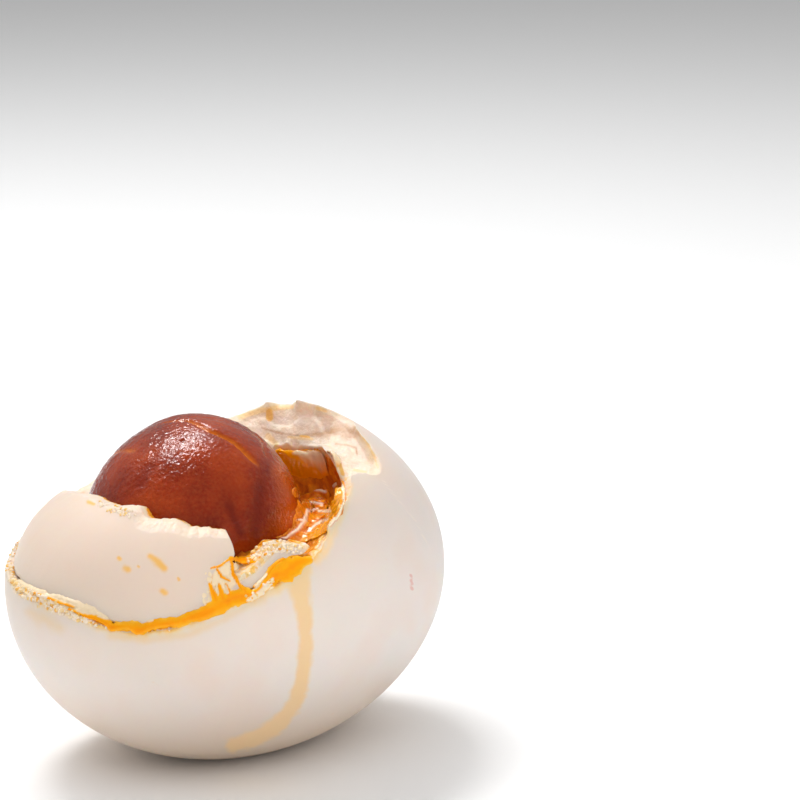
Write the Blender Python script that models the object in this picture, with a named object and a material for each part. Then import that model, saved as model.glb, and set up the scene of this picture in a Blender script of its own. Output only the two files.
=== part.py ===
"""A boiled and peeled salted duck egg, broken open over its blunt end and lying on its side.

The white is one thick wall round a deep socket. A slab of that wall has come loose over the
blunt end and leans in against the yolk, a chip of it lies in the gap beside the slab, the ball
of yolk stands in the socket, and the yolk's own oil fills what is left of the socket beside it.

X runs along the egg from the blunt end to the pointed end, and Z is up. The origin is under the
middle of the egg, on the flat spot that it rests on. A place on the wall is given by two angles
about the opening's axis: the turn round it, from the pointed end over the far side to the blunt
end and back along the near side, and the tilt away from it.
"""

import math

import bmesh
import bpy
from mathutils import Matrix, Vector, noise

MM = 0.001

# The egg's own size, without its shell
EGG_LENGTH = 56.3 * MM
EGG_BREADTH = 42.0 * MM
BLUNTNESS = 0.04
NOSE_DOWN = math.radians(5)
REST_CUT = 0.9 * MM
EGG_CENTRE = Vector((0, 0, EGG_BREADTH / 2 - REST_CUT))

# The yolk, from the egg's centre, with the flat on its shoulder and the cap that slipped outwards
YOLK_DIAMETER = 25.8 * MM
YOLK_CENTRE = Vector((-5.6, 0.1, 6.6)) * MM
SHOULDER_AXIS = Vector((-0.72, 0.1, 0.69)).normalized()
SHOULDER_START = 0.6
SHOULDER_DEPTH = 0.75 * MM
CAP_AXIS = Vector((0.62, 0.45, 0.64)).normalized()
CAP_START = 0.7
CAP_EDGE = 0.1
CAP_STEP = 0.25 * MM
YOLK_LUMP = 0.6
YOLK_LUMP_HEIGHT = 0.05 * MM

# The socket that the yolk left in the white, and the oil that stands in it
SOCKET_CENTRE = Vector((-2.7, -0.9, 6.7)) * MM
SOCKET_RADII = Vector((15.8, 13.9, 13.2)) * MM
OIL_LEVEL = 6.0 * MM

# The least room between touching pieces, and what each keeps to its neighbour
GAP = 0.3 * MM
YOLK_TO_SOCKET = 1.4 * GAP
YOLK_TO_PIECES = 1.5 * GAP
YOLK_TO_OIL = 2 * GAP
OIL_TO_SOCKET = 1.3 * GAP
PIECES_TO_SOCKET = 1.02

# The opening: its axis, and its rim and torn wall as (turn, value) pairs in degrees and mm
OPENING_AXIS = Vector((-0.46, -0.24, 0.855)).normalized()
RIM_TILT = (
    (0, 55.5), (8, 52.5), (15, 52), (20, 54), (24.5, 52.5), (28, 58), (32, 60.5), (35, 62),
    (38, 58.5), (42, 62.5), (46, 65.5), (52, 69), (70, 75), (90, 79), (115, 79), (140, 75),
    (156, 70), (171, 66), (184, 62.5), (197, 62), (212, 63.5), (222, 63), (234, 60.5), (250, 58),
    (268, 56), (277, 54.5), (284, 51), (291, 49), (298, 48), (305, 47.5), (312, 46.5), (316, 47.5),
    (320, 53.5), (324, 55.2), (331, 54), (338, 52.3), (346, 50.8), (353, 52.5),
)
SOCKET_DIP = (
    (0, 0), (8, 8.5), (16, 12.3), (24, 14), (28, 9.5), (32, 9), (38, 15), (44, 13), (52, 10),
    (60, 8.4), (100, 4), (180, 0), (270, 2.3), (285, 9.2), (312, 9), (320, 2), (325, 1.5),
    (335, 0), (345, -2), (353, -1),
)
TORN_SAG = ((0, 0.6), (20, 0.3), (60, 0.3), (150, 0), (270, 0), (290, 0.8), (324, 0.9), (345, 0.9))
SAG_DEEPEST = 0.2
CRAG_HEIGHT = (
    (0, 0.3), (60, 0.45), (120, 0.1), (275, 0.1), (290, 0.35), (312, 0.3), (322, 0.1), (345, 0.1),
)
CRAG_SIZE = 2 * MM

# How ragged each torn edge is, as (degrees, lump size) pairs
RIM_RAGS = ((0.9, 3.0 * MM), (0.5, 1.4 * MM))
SLAB_RAGS = ((0.8, 2.5 * MM), (0.5, 1.2 * MM))
CHIP_RAGS = ((0.6, 1.5 * MM),)

# The loose slab over the blunt end, in degrees and mm, and its torn top's bevel
SLAB_LEFT = 130
SLAB_TOP = (
    (130, 52), (139, 44), (152, 36), (169, 32), (186, 29), (198, 28), (208, 30.5),
    (223, 30.5), (234, 33.5), (243, 35.5), (251, 37),
)
SLAB_RIGHT_EDGE = ((0, 240.5), (0.2, 240), (0.42, 243), (0.52, 249), (0.7, 251), (1, 251))
SLAB_LEFT_WAVE = 2
SLAB_LEAN = ((130, 3.2), (165, 3.2), (190, 2.4), (225, 1.6), (251, 1.0))
SLAB_LEDGE = ((130, 0.9), (185, 0.9), (205, 0.5), (251, 0.3))
SLAB_THICKNESS = 5.0 * MM
SLAB_SEAM = 1.6
BEVEL_START = 0.86
BEVEL_DEPTH = 1.1

# The chip in the gap between the slab and the rim
CHIP_RIGHT = 276
CHIP_TO_SLAB = 1.6
CHIP_HEIGHT_ON_SLAB = 0.38
CHIP_TOP = ((242, 53), (250, 51.5), (256, 50.5), (261, 48.3), (266, 47), (271, 49), (276, 52))
CHIP_SEAM = ((244, 1.6), (252, 1.8), (261, 3.0), (268, 3.0), (276, 1.8))
CHIP_LOWEST = 1.5
CHIP_LEDGE = 0.8
CHIP_LEAN = 0.5
CHIP_THICKNESS = 4.0 * MM
THINNEST = 0.4 * MM
THINNING = 0.1 * MM

# How finely each piece is faceted
ROUND_THE_OPENING = 90
OUTER_ROWS = 18
TORN_ROWS = 5
SOCKET_ROWS = 11
SLAB_CUTS = (30, 8, 3)
CHIP_CUTS = (11, 4, 3)
BALL_SUBDIVISIONS = 4
OIL_SEGMENTS = (40, 20)
SHARP_ANGLE = math.radians(40)


def clear_scene():
    for old in list(bpy.data.objects):
        bpy.data.objects.remove(old, do_unlink=True)


def linear(hex_colour):
    """The linear red, green and blue of an sRGB colour such as E0CEC2."""
    channels = (int(hex_colour[k : k + 2], 16) / 255 for k in (0, 2, 4))
    return [c / 12.92 if c <= 0.04045 else ((c + 0.055) / 1.055) ** 2.4 for c in channels]


def plain_material(name, hex_colour, roughness):
    """A dielectric with one colour, for telling the pieces apart."""
    made = bpy.data.materials.new(name)
    made.use_nodes = True
    shader = made.node_tree.nodes["Principled BSDF"]
    colour = (*linear(hex_colour), 1)
    shader.inputs["Base Color"].default_value = colour
    shader.inputs["Roughness"].default_value = roughness
    shader.inputs["Metallic"].default_value = 0.0
    made.diffuse_color = colour
    return made


def object_from(name, shape, material):
    """Turns the bmesh into an object in the scene, shaded smooth between its sharp edges."""
    mesh = bpy.data.meshes.new(name)
    shape.to_mesh(mesh)
    shape.free()
    mesh.materials.append(material)
    mesh.shade_smooth()
    mesh.set_sharp_from_angle(angle=SHARP_ANGLE)
    made = bpy.data.objects.new(name, mesh)
    bpy.context.scene.collection.objects.link(made)
    return made


def along(table, place):
    """The value at this place of a table of (place, value) pairs, curved through its entries."""
    if place <= table[0][0]:
        return table[0][1]
    for k in range(len(table) - 1):
        (a, low), (b, high) = table[k], table[k + 1]
        if place <= b:
            before, after = table[max(k - 1, 0)], table[min(k + 2, len(table) - 1)]
            leave = (high - before[1]) / (b - before[0]) * (b - a)
            arrive = (after[1] - low) / (after[0] - a) * (b - a)
            t = (place - a) / (b - a)
            return (
                low * (2 * t**3 - 3 * t**2 + 1) + leave * (t**3 - 2 * t**2 + t)
                + high * (3 * t**2 - 2 * t**3) + arrive * (t**3 - t**2)
            )
    return table[-1][1]


def round_table(table, turn):
    """The value at this turn of a closed table, whose last entry runs on into its first."""
    turn %= 360
    ends = [(a - 360, v) for a, v in table[-2:]], [(a + 360, v) for a, v in table[:2]]
    return along((*ends[0], *table, *ends[1]), turn)


def rough(point, size, seed=0):
    """Smooth noise between about -1 and 1, with lumps of this size."""
    return noise.noise(point / size + Vector((seed, 0, 0)))


def ragged(point, rags, seed=0):
    """Noise of several lump sizes at once, each with its own height."""
    return sum(height * rough(point, size, seed + 9 * k) for k, (height, size) in enumerate(rags))


ACROSS = (Vector((1, 0, 0)) - OPENING_AXIS * OPENING_AXIS.x).normalized()
SIDEWAYS = OPENING_AXIS.cross(ACROSS)
LEAN_OF_EGG = Matrix.Rotation(NOSE_DOWN, 3, "Y")


def direction(turn, tilt):
    """The unit vector with this turn about the opening's axis and this tilt away from it."""
    turn, tilt = math.radians(turn), math.radians(tilt)
    outward = ACROSS * math.cos(turn) + SIDEWAYS * math.sin(turn)
    return OPENING_AXIS * math.cos(tilt) + outward * math.sin(tilt)


def on_egg(turn, tilt):
    """The point of the egg's smooth outer surface at this turn and tilt, from the egg's centre."""
    u, v, w = direction(turn, tilt)
    girth = EGG_BREADTH / 2 * (1 - BLUNTNESS * u)
    return LEAN_OF_EGG @ Vector((EGG_LENGTH / 2 * u, girth * v, girth * w))


def rim_tilt(turn):
    """The tilt of the opening's ragged rim."""
    tilt = round_table(RIM_TILT, turn)
    return tilt + ragged(on_egg(turn, tilt), RIM_RAGS)


def socket_angles(turn):
    """The turn and tilt, seen from the socket's centre, of its edge below this place on the rim."""
    away = on_egg(turn, rim_tilt(turn)) - SOCKET_CENTRE
    away = Vector(a / r for a, r in zip(away, SOCKET_RADII)).normalized()
    tilt = math.degrees(away.angle(OPENING_AXIS)) + round_table(SOCKET_DIP, turn)
    return math.degrees(math.atan2(away.dot(SIDEWAYS), away.dot(ACROSS))), tilt


def on_socket(turn, tilt):
    """The socket's surface: an oval hollow, pushed out where it would be tight round the yolk."""
    away = Vector(a * r for a, r in zip(direction(turn, tilt), SOCKET_RADII))
    offset = SOCKET_CENTRE - YOLK_CENTRE
    room = YOLK_DIAMETER / 2 + YOLK_TO_SOCKET
    half = away.dot(offset) / away.length_squared
    leave = math.sqrt(half**2 + (room**2 - offset.length_squared) / away.length_squared) - half
    return SOCKET_CENTRE + away * max(1, leave)


def white_point(turn, row):
    """The white's surface: up its outside to the rim, over the torn wall and down the socket."""
    tilt = rim_tilt(turn)
    if row <= OUTER_ROWS:
        return on_egg(turn, 180 - (180 - tilt) * row / OUTER_ROWS)
    edge_turn, edge_tilt = socket_angles(turn)
    if row >= OUTER_ROWS + TORN_ROWS:
        down = (row - OUTER_ROWS - TORN_ROWS) / SOCKET_ROWS
        return on_socket(edge_turn, edge_tilt + (180 - edge_tilt) * down)
    inward = (row - OUTER_ROWS) / TORN_ROWS
    point = on_egg(turn, tilt).lerp(on_socket(edge_turn, edge_tilt), inward)
    sag = round_table(TORN_SAG, turn) * min(1, inward / SAG_DEEPEST) * (1 - inward)
    crag = round_table(CRAG_HEIGHT, turn) * math.sin(math.pi * inward)
    return point + OPENING_AXIS * (crag * rough(point, CRAG_SIZE, seed=4) - sag) * MM


def make_white(material):
    """A ball whose far half becomes the egg's outside and whose near half turns into the socket."""
    rows = OUTER_ROWS + TORN_ROWS + SOCKET_ROWS
    shape = bmesh.new()
    bmesh.ops.create_uvsphere(shape, u_segments=ROUND_THE_OPENING, v_segments=rows, radius=1)
    for vertex in shape.verts:
        x, y, z = vertex.co
        row = round((1 - math.acos(max(-1, min(1, z))) / math.pi) * rows, 3)
        vertex.co = white_point(math.degrees(math.atan2(y, x)), row) + EGG_CENTRE
    cut_level(shape, Vector((0, 0, 0)), keep_above=True)
    return object_from("egg_white", shape, material)


def cut_level(shape, height, keep_above):
    """Cuts the shape off level through this point and closes the cut with one flat face."""
    everything = shape.verts[:] + shape.edges[:] + shape.faces[:]
    cut = bmesh.ops.bisect_plane(
        shape, geom=everything, dist=1e-6, plane_co=height, plane_no=(0, 0, 1),
        clear_inner=keep_above, clear_outer=not keep_above,
    )
    edges = [e for e in cut["geom_cut"] if isinstance(e, bmesh.types.BMEdge)]
    bmesh.ops.edgeloop_fill(shape, edges=edges)
    bmesh.ops.recalc_face_normals(shape, faces=shape.faces)


def clear_of_yolk(point):
    """Whether the point lies outside the socket and clear of the yolk."""
    away = point - SOCKET_CENTRE
    outside = Vector(a / r for a, r in zip(away, SOCKET_RADII)).length > PIECES_TO_SOCKET
    return outside and (point - YOLK_CENTRE).length > YOLK_DIAMETER / 2 + YOLK_TO_PIECES


def into_wall(outer, ledge, depth, thickness):
    """Moves a point of the outer surface inwards by a ledge, then by a share of the thickness."""
    inward = (SOCKET_CENTRE - outer).normalized()
    start = outer + inward * ledge * MM
    room = thickness
    while room > THINNEST and not clear_of_yolk(start + inward * room):
        room -= THINNING
    return start + inward * room * depth


def slab_point(along_it, up, depth):
    """The loose slab: along its length, up from the crack to its torn top, and into the wall."""
    right = along(SLAB_RIGHT_EDGE, up)
    turn = SLAB_LEFT + (right - SLAB_LEFT) * along_it
    turn += SLAB_LEFT_WAVE * (1 - along_it) * math.sin(5 * up) * (1 - depth)
    bottom = rim_tilt(turn) - SLAB_SEAM
    top = along(SLAB_TOP, turn)
    top += ragged(on_egg(turn, top), SLAB_RAGS, seed=2)
    outer = on_egg(turn, bottom + (top - bottom) * up)
    lean = along(SLAB_LEDGE, turn) + (along(SLAB_LEAN, turn) - along(SLAB_LEDGE, turn)) * up**1.4
    lean += BEVEL_DEPTH * max(0, up - BEVEL_START) / (1 - BEVEL_START)
    return into_wall(outer, lean, depth, SLAB_THICKNESS)


def chip_point(along_it, up, depth):
    """The chip in the gap between the slab and the rim, laid out as the slab is."""
    left = along(SLAB_RIGHT_EDGE, CHIP_HEIGHT_ON_SLAB * up) + CHIP_TO_SLAB
    turn = left + (CHIP_RIGHT - left) * along_it
    bottom = rim_tilt(turn) - along(CHIP_SEAM, turn)
    top = min(along(CHIP_TOP, turn), bottom - CHIP_LOWEST)
    top += ragged(on_egg(turn, top), CHIP_RAGS, seed=6)
    outer = on_egg(turn, bottom + (top - bottom) * up)
    return into_wall(outer, CHIP_LEDGE + CHIP_LEAN * up**2, depth, CHIP_THICKNESS)


def make_wall_piece(name, place, cuts, material):
    """A block cut into a grid on every side, with each of its points put where the rule says."""
    shape = bmesh.new()
    bmesh.ops.create_cube(shape, size=2)
    for axis, count in enumerate(cuts):
        running = [
            e for e in shape.edges
            if abs(e.verts[0].co[axis] - e.verts[1].co[axis]) > 1e-6
        ]
        bmesh.ops.subdivide_edges(shape, edges=running, cuts=count, use_grid_fill=True)
    for vertex in shape.verts:
        x, y, z = ((c + 1) / 2 for c in vertex.co)
        vertex.co = place(x, y, 1 - z) + EGG_CENTRE
    return object_from(name, shape, material)


def yolk_radius(away):
    """The yolk's radius in this direction: a ball with a flat shoulder and a cap that bulges."""
    shoulder = max(0, away.dot(SHOULDER_AXIS) - SHOULDER_START) / (1 - SHOULDER_START)
    cap = min(1, max(0, away.dot(CAP_AXIS) - CAP_START) / CAP_EDGE)
    lumps = YOLK_LUMP_HEIGHT * (1 - rough(away, YOLK_LUMP, seed=5))
    return YOLK_DIAMETER / 2 - SHOULDER_DEPTH * shoulder**1.5 - CAP_STEP * (1 - cap) - lumps


def make_yolk(material):
    shape = bmesh.new()
    bmesh.ops.create_icosphere(shape, subdivisions=BALL_SUBDIVISIONS, radius=1)
    for vertex in shape.verts:
        away = vertex.co.normalized()
        vertex.co = EGG_CENTRE + YOLK_CENTRE + away * yolk_radius(away)
    return object_from("yolk", shape, material)


def make_yolk_room(material):
    """The ball of room that the yolk takes out of the oil."""
    shape = bmesh.new()
    radius = YOLK_DIAMETER / 2 + YOLK_TO_OIL
    bmesh.ops.create_icosphere(shape, subdivisions=BALL_SUBDIVISIONS, radius=radius)
    bmesh.ops.translate(shape, vec=EGG_CENTRE + YOLK_CENTRE, verts=shape.verts)
    room = object_from("yolk_room", shape, material)
    room.hide_render = True
    room.display_type = "WIRE"
    return room


def make_oil(material):
    """The pool: the socket's shape up to the oil's level, less the room that the yolk takes."""
    shape = bmesh.new()
    around, upwards = OIL_SEGMENTS
    bmesh.ops.create_uvsphere(shape, u_segments=around, v_segments=upwards, radius=1)
    for vertex in shape.verts:
        radii = (r - OIL_TO_SOCKET for r in SOCKET_RADII)
        vertex.co = EGG_CENTRE + SOCKET_CENTRE + Vector(a * r for a, r in zip(vertex.co, radii))
    cut_level(shape, EGG_CENTRE + Vector((0, 0, OIL_LEVEL)), keep_above=False)
    oil = object_from("yolk_oil", shape, material)
    hollow = oil.modifiers.new("round the yolk", "BOOLEAN")
    hollow.operation = "DIFFERENCE"
    hollow.object = make_yolk_room(material)
    hollow.solver = "EXACT"
    return oil


def main():
    clear_scene()
    make_white(plain_material("boiled_egg_white", "E0CEC2", 0.45))
    make_wall_piece("loose_slab", slab_point, SLAB_CUTS, plain_material("loose_egg_white", "E4D3C4", 0.45))
    make_wall_piece("white_chip", chip_point, CHIP_CUTS, plain_material("chipped_egg_white", "E7CEB8", 0.5))
    make_yolk(plain_material("salted_yolk", "8A3B22", 0.3))
    make_oil(plain_material("yolk_oil", "EC9A22", 0.1))


main()
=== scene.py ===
# %% [markdown]
# # An opened salted duck egg
#
# A duck egg was cured in brine, boiled and peeled, then broken open over its blunt end. This
# lesson dresses its plain solids: the white with its torn wall, the slab and the chip that came
# loose, the oily yolk, and the orange oil that has crept into every crack. The solids give the
# size and place of each piece, so they are loaded first and nothing here moves them.

# %% Load the solids
import functools
import math
import random

import bmesh
import bpy
import numpy as np
from mathutils import Matrix, Vector, noise
from mathutils.bvhtree import BVHTree


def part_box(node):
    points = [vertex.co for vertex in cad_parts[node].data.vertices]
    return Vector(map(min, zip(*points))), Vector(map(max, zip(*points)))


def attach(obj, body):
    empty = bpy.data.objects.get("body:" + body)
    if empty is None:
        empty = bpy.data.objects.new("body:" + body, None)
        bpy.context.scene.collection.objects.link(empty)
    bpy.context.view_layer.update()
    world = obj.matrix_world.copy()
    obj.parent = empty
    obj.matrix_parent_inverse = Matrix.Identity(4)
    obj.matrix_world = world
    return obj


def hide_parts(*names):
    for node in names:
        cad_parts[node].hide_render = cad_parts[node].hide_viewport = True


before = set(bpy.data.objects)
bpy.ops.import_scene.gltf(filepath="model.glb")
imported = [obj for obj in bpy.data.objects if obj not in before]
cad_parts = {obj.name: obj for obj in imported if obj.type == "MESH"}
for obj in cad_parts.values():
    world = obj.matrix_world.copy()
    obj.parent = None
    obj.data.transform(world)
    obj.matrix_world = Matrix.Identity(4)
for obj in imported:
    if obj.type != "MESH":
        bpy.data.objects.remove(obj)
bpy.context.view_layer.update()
MM = 0.001
for node_name in sorted(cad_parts):
    low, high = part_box(node_name)
    print(node_name, [round(side / MM, 1) for side in high - low], "mm")

# %% [markdown]
# ## The camera
#
# The camera stands where the photograph was taken from. Its direction, its distance and the place of
# the egg's middle in the picture are the measured values, and the lens follows from the scale.
# It is turned towards the middle of the picture, and not shifted, so that it can be moved later.

# %% Stand the camera
VIEW_TURN = math.radians(-41.74)
VIEW_HEIGHT = math.radians(15.714)
PIXELS_PER_MM = 8.707
PICTURE = 800
MIDDLE_SEEN_AT = (228.765, 571.043)
CAMERA_AWAY = 400 * MM
SENSOR = 36
EGG_CENTRE = Vector((0, 0, 20.1 * MM))

VIEW_RIGHT = Vector((math.cos(VIEW_TURN), math.sin(VIEW_TURN), 0))
VIEW_BACK = Vector((
    math.sin(VIEW_TURN) * math.cos(VIEW_HEIGHT),
    -math.cos(VIEW_TURN) * math.cos(VIEW_HEIGHT),
    math.sin(VIEW_HEIGHT),
))
VIEW_UP = VIEW_BACK.cross(VIEW_RIGHT)


def beside_the_egg(pixel):
    """The point level with the egg's middle that shows at this pixel of the photograph."""
    x, y = (p - m for p, m in zip(pixel, MIDDLE_SEEN_AT))
    return EGG_CENTRE + (VIEW_RIGHT * x - VIEW_UP * y) / PIXELS_PER_MM * MM


camera_spot = EGG_CENTRE + VIEW_BACK * CAMERA_AWAY
look = (beside_the_egg((PICTURE / 2, PICTURE / 2)) - camera_spot).normalized()
look_right = look.cross(Vector((0, 0, 1))).normalized()
camera = bpy.data.cameras.new("camera")
camera.sensor_width = SENSOR
camera.lens = SENSOR * (EGG_CENTRE - camera_spot).dot(look) / (PICTURE / PIXELS_PER_MM * MM)
camera.clip_start = 10 * MM
camera_object = bpy.data.objects.new("camera", camera)
bpy.context.scene.collection.objects.link(camera_object)
axes = Matrix((look_right, look_right.cross(look), -look)).transposed()
camera_object.matrix_world = Matrix.Translation(camera_spot) @ axes.to_4x4()
bpy.context.scene.camera = camera_object
print("lens", round(camera.lens, 1), "mm")


def seen_on(tree, pixel):
    """Where the line of sight through this pixel of the photograph meets the piece, or passes it."""
    right = (pixel[0] - PICTURE / 2) / PICTURE * SENSOR / camera.lens
    up = (PICTURE / 2 - pixel[1]) / PICTURE * SENSOR / camera.lens
    away = (axes @ Vector((right, up, -1))).normalized()
    met = tree.ray_cast(camera_spot, away)[0]
    return met or tree.find_nearest(camera_spot + away * CAMERA_AWAY)[0]


def in_picture(points):
    """The pixel of the photograph at which each point shows."""
    turned = (points - np.array(camera_spot)) @ np.array(axes)
    seen = turned[:, :2] / -turned[:, 2:] * camera.lens / SENSOR * PICTURE
    return PICTURE / 2 + seen * (1, -1)


# %% [markdown]
# ## The egg's shape as rules
#
# The solids were laid out by a few rules, and the same rules run here with far more points, so
# that the fine surface lies on the solid everywhere. A place on the wall is a turn round the
# opening's axis and a tilt away from it. What was measured is a short table of (turn, value)
# pairs, and a curve through its entries gives the rest.

# %% Sizes that the solids were made with
EGG_LENGTH = 56.3 * MM
EGG_BREADTH = 42.0 * MM
BLUNTNESS = 0.04
NOSE_DOWN = math.radians(5)

YOLK_DIAMETER = 25.8 * MM
YOLK_CENTRE = Vector((-5.6, 0.1, 6.6)) * MM
SHOULDER_AXIS = Vector((-0.72, 0.1, 0.69)).normalized()
SHOULDER_START = 0.6
SHOULDER_DEPTH = 0.75 * MM
CAP_AXIS = Vector((0.62, 0.45, 0.64)).normalized()
CAP_START = 0.7
CAP_EDGE = 0.1
CAP_STEP = 0.25 * MM
YOLK_LUMP = 0.6
YOLK_LUMP_HEIGHT = 0.05 * MM

SOCKET_CENTRE = Vector((-2.7, -0.9, 6.7)) * MM
SOCKET_RADII = Vector((15.8, 13.9, 13.2)) * MM
OIL_LEVEL = 6.0 * MM
GAP = 0.3 * MM
YOLK_TO_SOCKET = 1.4 * GAP
YOLK_TO_PIECES = 1.5 * GAP
PIECES_TO_SOCKET = 1.02

OPENING_AXIS = Vector((-0.46, -0.24, 0.855)).normalized()
RIM_TILT = (
    (0, 55.5), (8, 52.5), (15, 52), (20, 54), (24.5, 52.5), (28, 58), (32, 60.5), (35, 62),
    (38, 58.5), (42, 62.5), (46, 65.5), (52, 69), (70, 75), (90, 79), (115, 79), (140, 75),
    (156, 70), (171, 66), (184, 62.5), (197, 62), (212, 63.5), (222, 63), (234, 60.5), (250, 58),
    (268, 56), (277, 54.5), (284, 51), (291, 49), (298, 48), (305, 47.5), (312, 46.5), (316, 47.5),
    (320, 53.5), (324, 55.2), (331, 54), (338, 52.3), (346, 50.8), (353, 52.5),
)
SOCKET_DIP = (
    (0, 0), (8, 8.5), (16, 12.3), (24, 14), (28, 9.5), (32, 9), (38, 15), (44, 13), (52, 10),
    (60, 8.4), (100, 4), (180, 0), (270, 2.3), (285, 9.2), (312, 9), (320, 2), (325, 1.5),
    (335, 0), (345, -2), (353, -1),
)
TORN_SAG = ((0, 0.6), (20, 0.3), (60, 0.3), (150, 0), (270, 0), (290, 0.8), (324, 0.9), (345, 0.9))
SAG_DEEPEST = 0.2
CRAG_HEIGHT = (
    (0, 0.3), (60, 0.45), (120, 0.1), (275, 0.1), (290, 0.35), (312, 0.3), (322, 0.1), (345, 0.1),
)
CRAG_SIZE = 2 * MM
RIM_RAGS = ((0.9, 3.0 * MM), (0.5, 1.4 * MM))
SLAB_RAGS = ((0.8, 2.5 * MM), (0.5, 1.2 * MM))
CHIP_RAGS = ((0.6, 1.5 * MM),)

SLAB_LEFT = 130
SLAB_TOP = (
    (130, 52), (139, 44), (152, 36), (169, 32), (186, 29), (198, 28), (208, 30.5),
    (223, 30.5), (234, 33.5), (243, 35.5), (251, 37),
)
SLAB_RIGHT_EDGE = ((0, 240.5), (0.2, 240), (0.42, 243), (0.52, 249), (0.7, 251), (1, 251))
SLAB_LEFT_WAVE = 2
SLAB_LEAN = ((130, 3.2), (165, 3.2), (190, 2.4), (225, 1.6), (251, 1.0))
SLAB_LEDGE = ((130, 0.9), (185, 0.9), (205, 0.5), (251, 0.3))
SLAB_THICKNESS = 5.0 * MM
SLAB_SEAM = 1.6
BEVEL_START = ((130, 0.97), (185, 0.96), (200, 0.93), (212, 0.87), (251, 0.87))
BEVEL_DEPTH = 1.1

CHIP_RIGHT = 276
CHIP_TO_SLAB = 1.6
CHIP_HEIGHT_ON_SLAB = 0.38
CHIP_TOP = ((242, 53), (250, 51.5), (256, 50.5), (261, 48.3), (266, 47), (271, 49), (276, 52))
CHIP_SEAM = ((244, 1.6), (252, 1.8), (261, 3.0), (268, 3.0), (276, 1.8))
CHIP_LOWEST = 1.5
CHIP_LEDGE = 0.8
CHIP_LEAN = 0.5
CHIP_THICKNESS = 4.0 * MM
THINNEST = 0.4 * MM
THINNING = 0.1 * MM
print("egg", EGG_LENGTH / MM, "x", EGG_BREADTH / MM, "mm, yolk", YOLK_DIAMETER / MM, "mm")


# %% Read a table and make noise
def along(table, place):
    """The value at this place of a table of (place, value) pairs, curved through its entries."""
    if place <= table[0][0]:
        return table[0][1]
    for k in range(len(table) - 1):
        (a, low), (b, high) = table[k], table[k + 1]
        if place <= b:
            before, after = table[max(k - 1, 0)], table[min(k + 2, len(table) - 1)]
            leave = (high - before[1]) / (b - before[0]) * (b - a)
            arrive = (after[1] - low) / (after[0] - a) * (b - a)
            t = (place - a) / (b - a)
            return (
                low * (2 * t**3 - 3 * t**2 + 1) + leave * (t**3 - 2 * t**2 + t)
                + high * (3 * t**2 - 2 * t**3) + arrive * (t**3 - t**2)
            )
    return table[-1][1]


def round_table(table, turn):
    """The value at this turn of a closed table, whose last entry runs on into its first."""
    turn %= 360
    ends = [(a - 360, v) for a, v in table[-2:]], [(a + 360, v) for a, v in table[:2]]
    return along((*ends[0], *table, *ends[1]), turn)


def rough(point, size, seed=0):
    """Smooth noise between about -1 and 1, with lumps of this size."""
    return noise.noise(point / size + Vector((seed, 0, 0)))


def ragged(point, rags, seed=0):
    """Noise of several lump sizes at once, each with its own height."""
    return sum(height * rough(point, size, seed + 9 * k) for k, (height, size) in enumerate(rags))


def grains(point, size, seed=0):
    """Packed round grains of this size: 1 in the middle of a grain and 0 where grains meet."""
    nearest = noise.voronoi(point / size + Vector((seed, 0, 0)))[0]
    return ease(nearest[1] - nearest[0], 0, 0.6)


def ease(value, low, high):
    """0 below low and 1 above high, with a soft start and a soft end."""
    t = np.clip((value - low) / (high - low), 0, 1)
    return t * t * (3 - 2 * t)


# %% Find a place on the egg, its rim and its socket
ACROSS = (Vector((1, 0, 0)) - OPENING_AXIS * OPENING_AXIS.x).normalized()
SIDEWAYS = OPENING_AXIS.cross(ACROSS)
LEAN_OF_EGG = Matrix.Rotation(NOSE_DOWN, 3, "Y")


def direction(turn, tilt):
    """The unit vector with this turn about the opening's axis and this tilt away from it."""
    turn, tilt = math.radians(turn), math.radians(tilt)
    outward = ACROSS * math.cos(turn) + SIDEWAYS * math.sin(turn)
    return OPENING_AXIS * math.cos(tilt) + outward * math.sin(tilt)


def on_egg(turn, tilt):
    """The point of the egg's smooth outer surface at this turn and tilt, from the egg's centre."""
    u, v, w = direction(turn, tilt)
    girth = EGG_BREADTH / 2 * (1 - BLUNTNESS * u)
    return LEAN_OF_EGG @ Vector((EGG_LENGTH / 2 * u, girth * v, girth * w))


@functools.lru_cache(maxsize=None)
def rim_tilt(turn):
    """The tilt of the opening's ragged rim."""
    tilt = round_table(RIM_TILT, turn)
    return tilt + ragged(on_egg(turn, tilt), RIM_RAGS)


@functools.lru_cache(maxsize=None)
def socket_angles(turn):
    """The turn and tilt, seen from the socket's centre, of its edge below this place on the rim."""
    away = on_egg(turn, rim_tilt(turn)) - SOCKET_CENTRE
    away = Vector(a / r for a, r in zip(away, SOCKET_RADII)).normalized()
    tilt = math.degrees(away.angle(OPENING_AXIS)) + round_table(SOCKET_DIP, turn)
    return math.degrees(math.atan2(away.dot(SIDEWAYS), away.dot(ACROSS))), tilt


def on_socket(turn, tilt):
    """The socket's surface: an oval hollow, pushed out where it would be tight round the yolk."""
    away = Vector(a * r for a, r in zip(direction(turn, tilt), SOCKET_RADII))
    offset = SOCKET_CENTRE - YOLK_CENTRE
    room = YOLK_DIAMETER / 2 + YOLK_TO_SOCKET
    half = away.dot(offset) / away.length_squared
    leave = math.sqrt(half**2 + (room**2 - offset.length_squared) / away.length_squared) - half
    return SOCKET_CENTRE + away * max(1, leave)


rim = [on_egg(turn, rim_tilt(turn)) for turn in range(0, 360, 2)]
rim_length = sum((a - b).length for a, b in zip(rim, rim[1:] + rim[:1]))
print("the rim is", round(rim_length / MM), "mm round")


# %% [markdown]
# ## Small helpers
#
# Every piece ends the same way: its bmesh becomes an object at the origin, rides on the egg, and
# stands for the solid that it was laid on. A value painted on the points of a mesh, such as how
# torn or how oily the white is there, is an attribute that the materials read.

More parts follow.
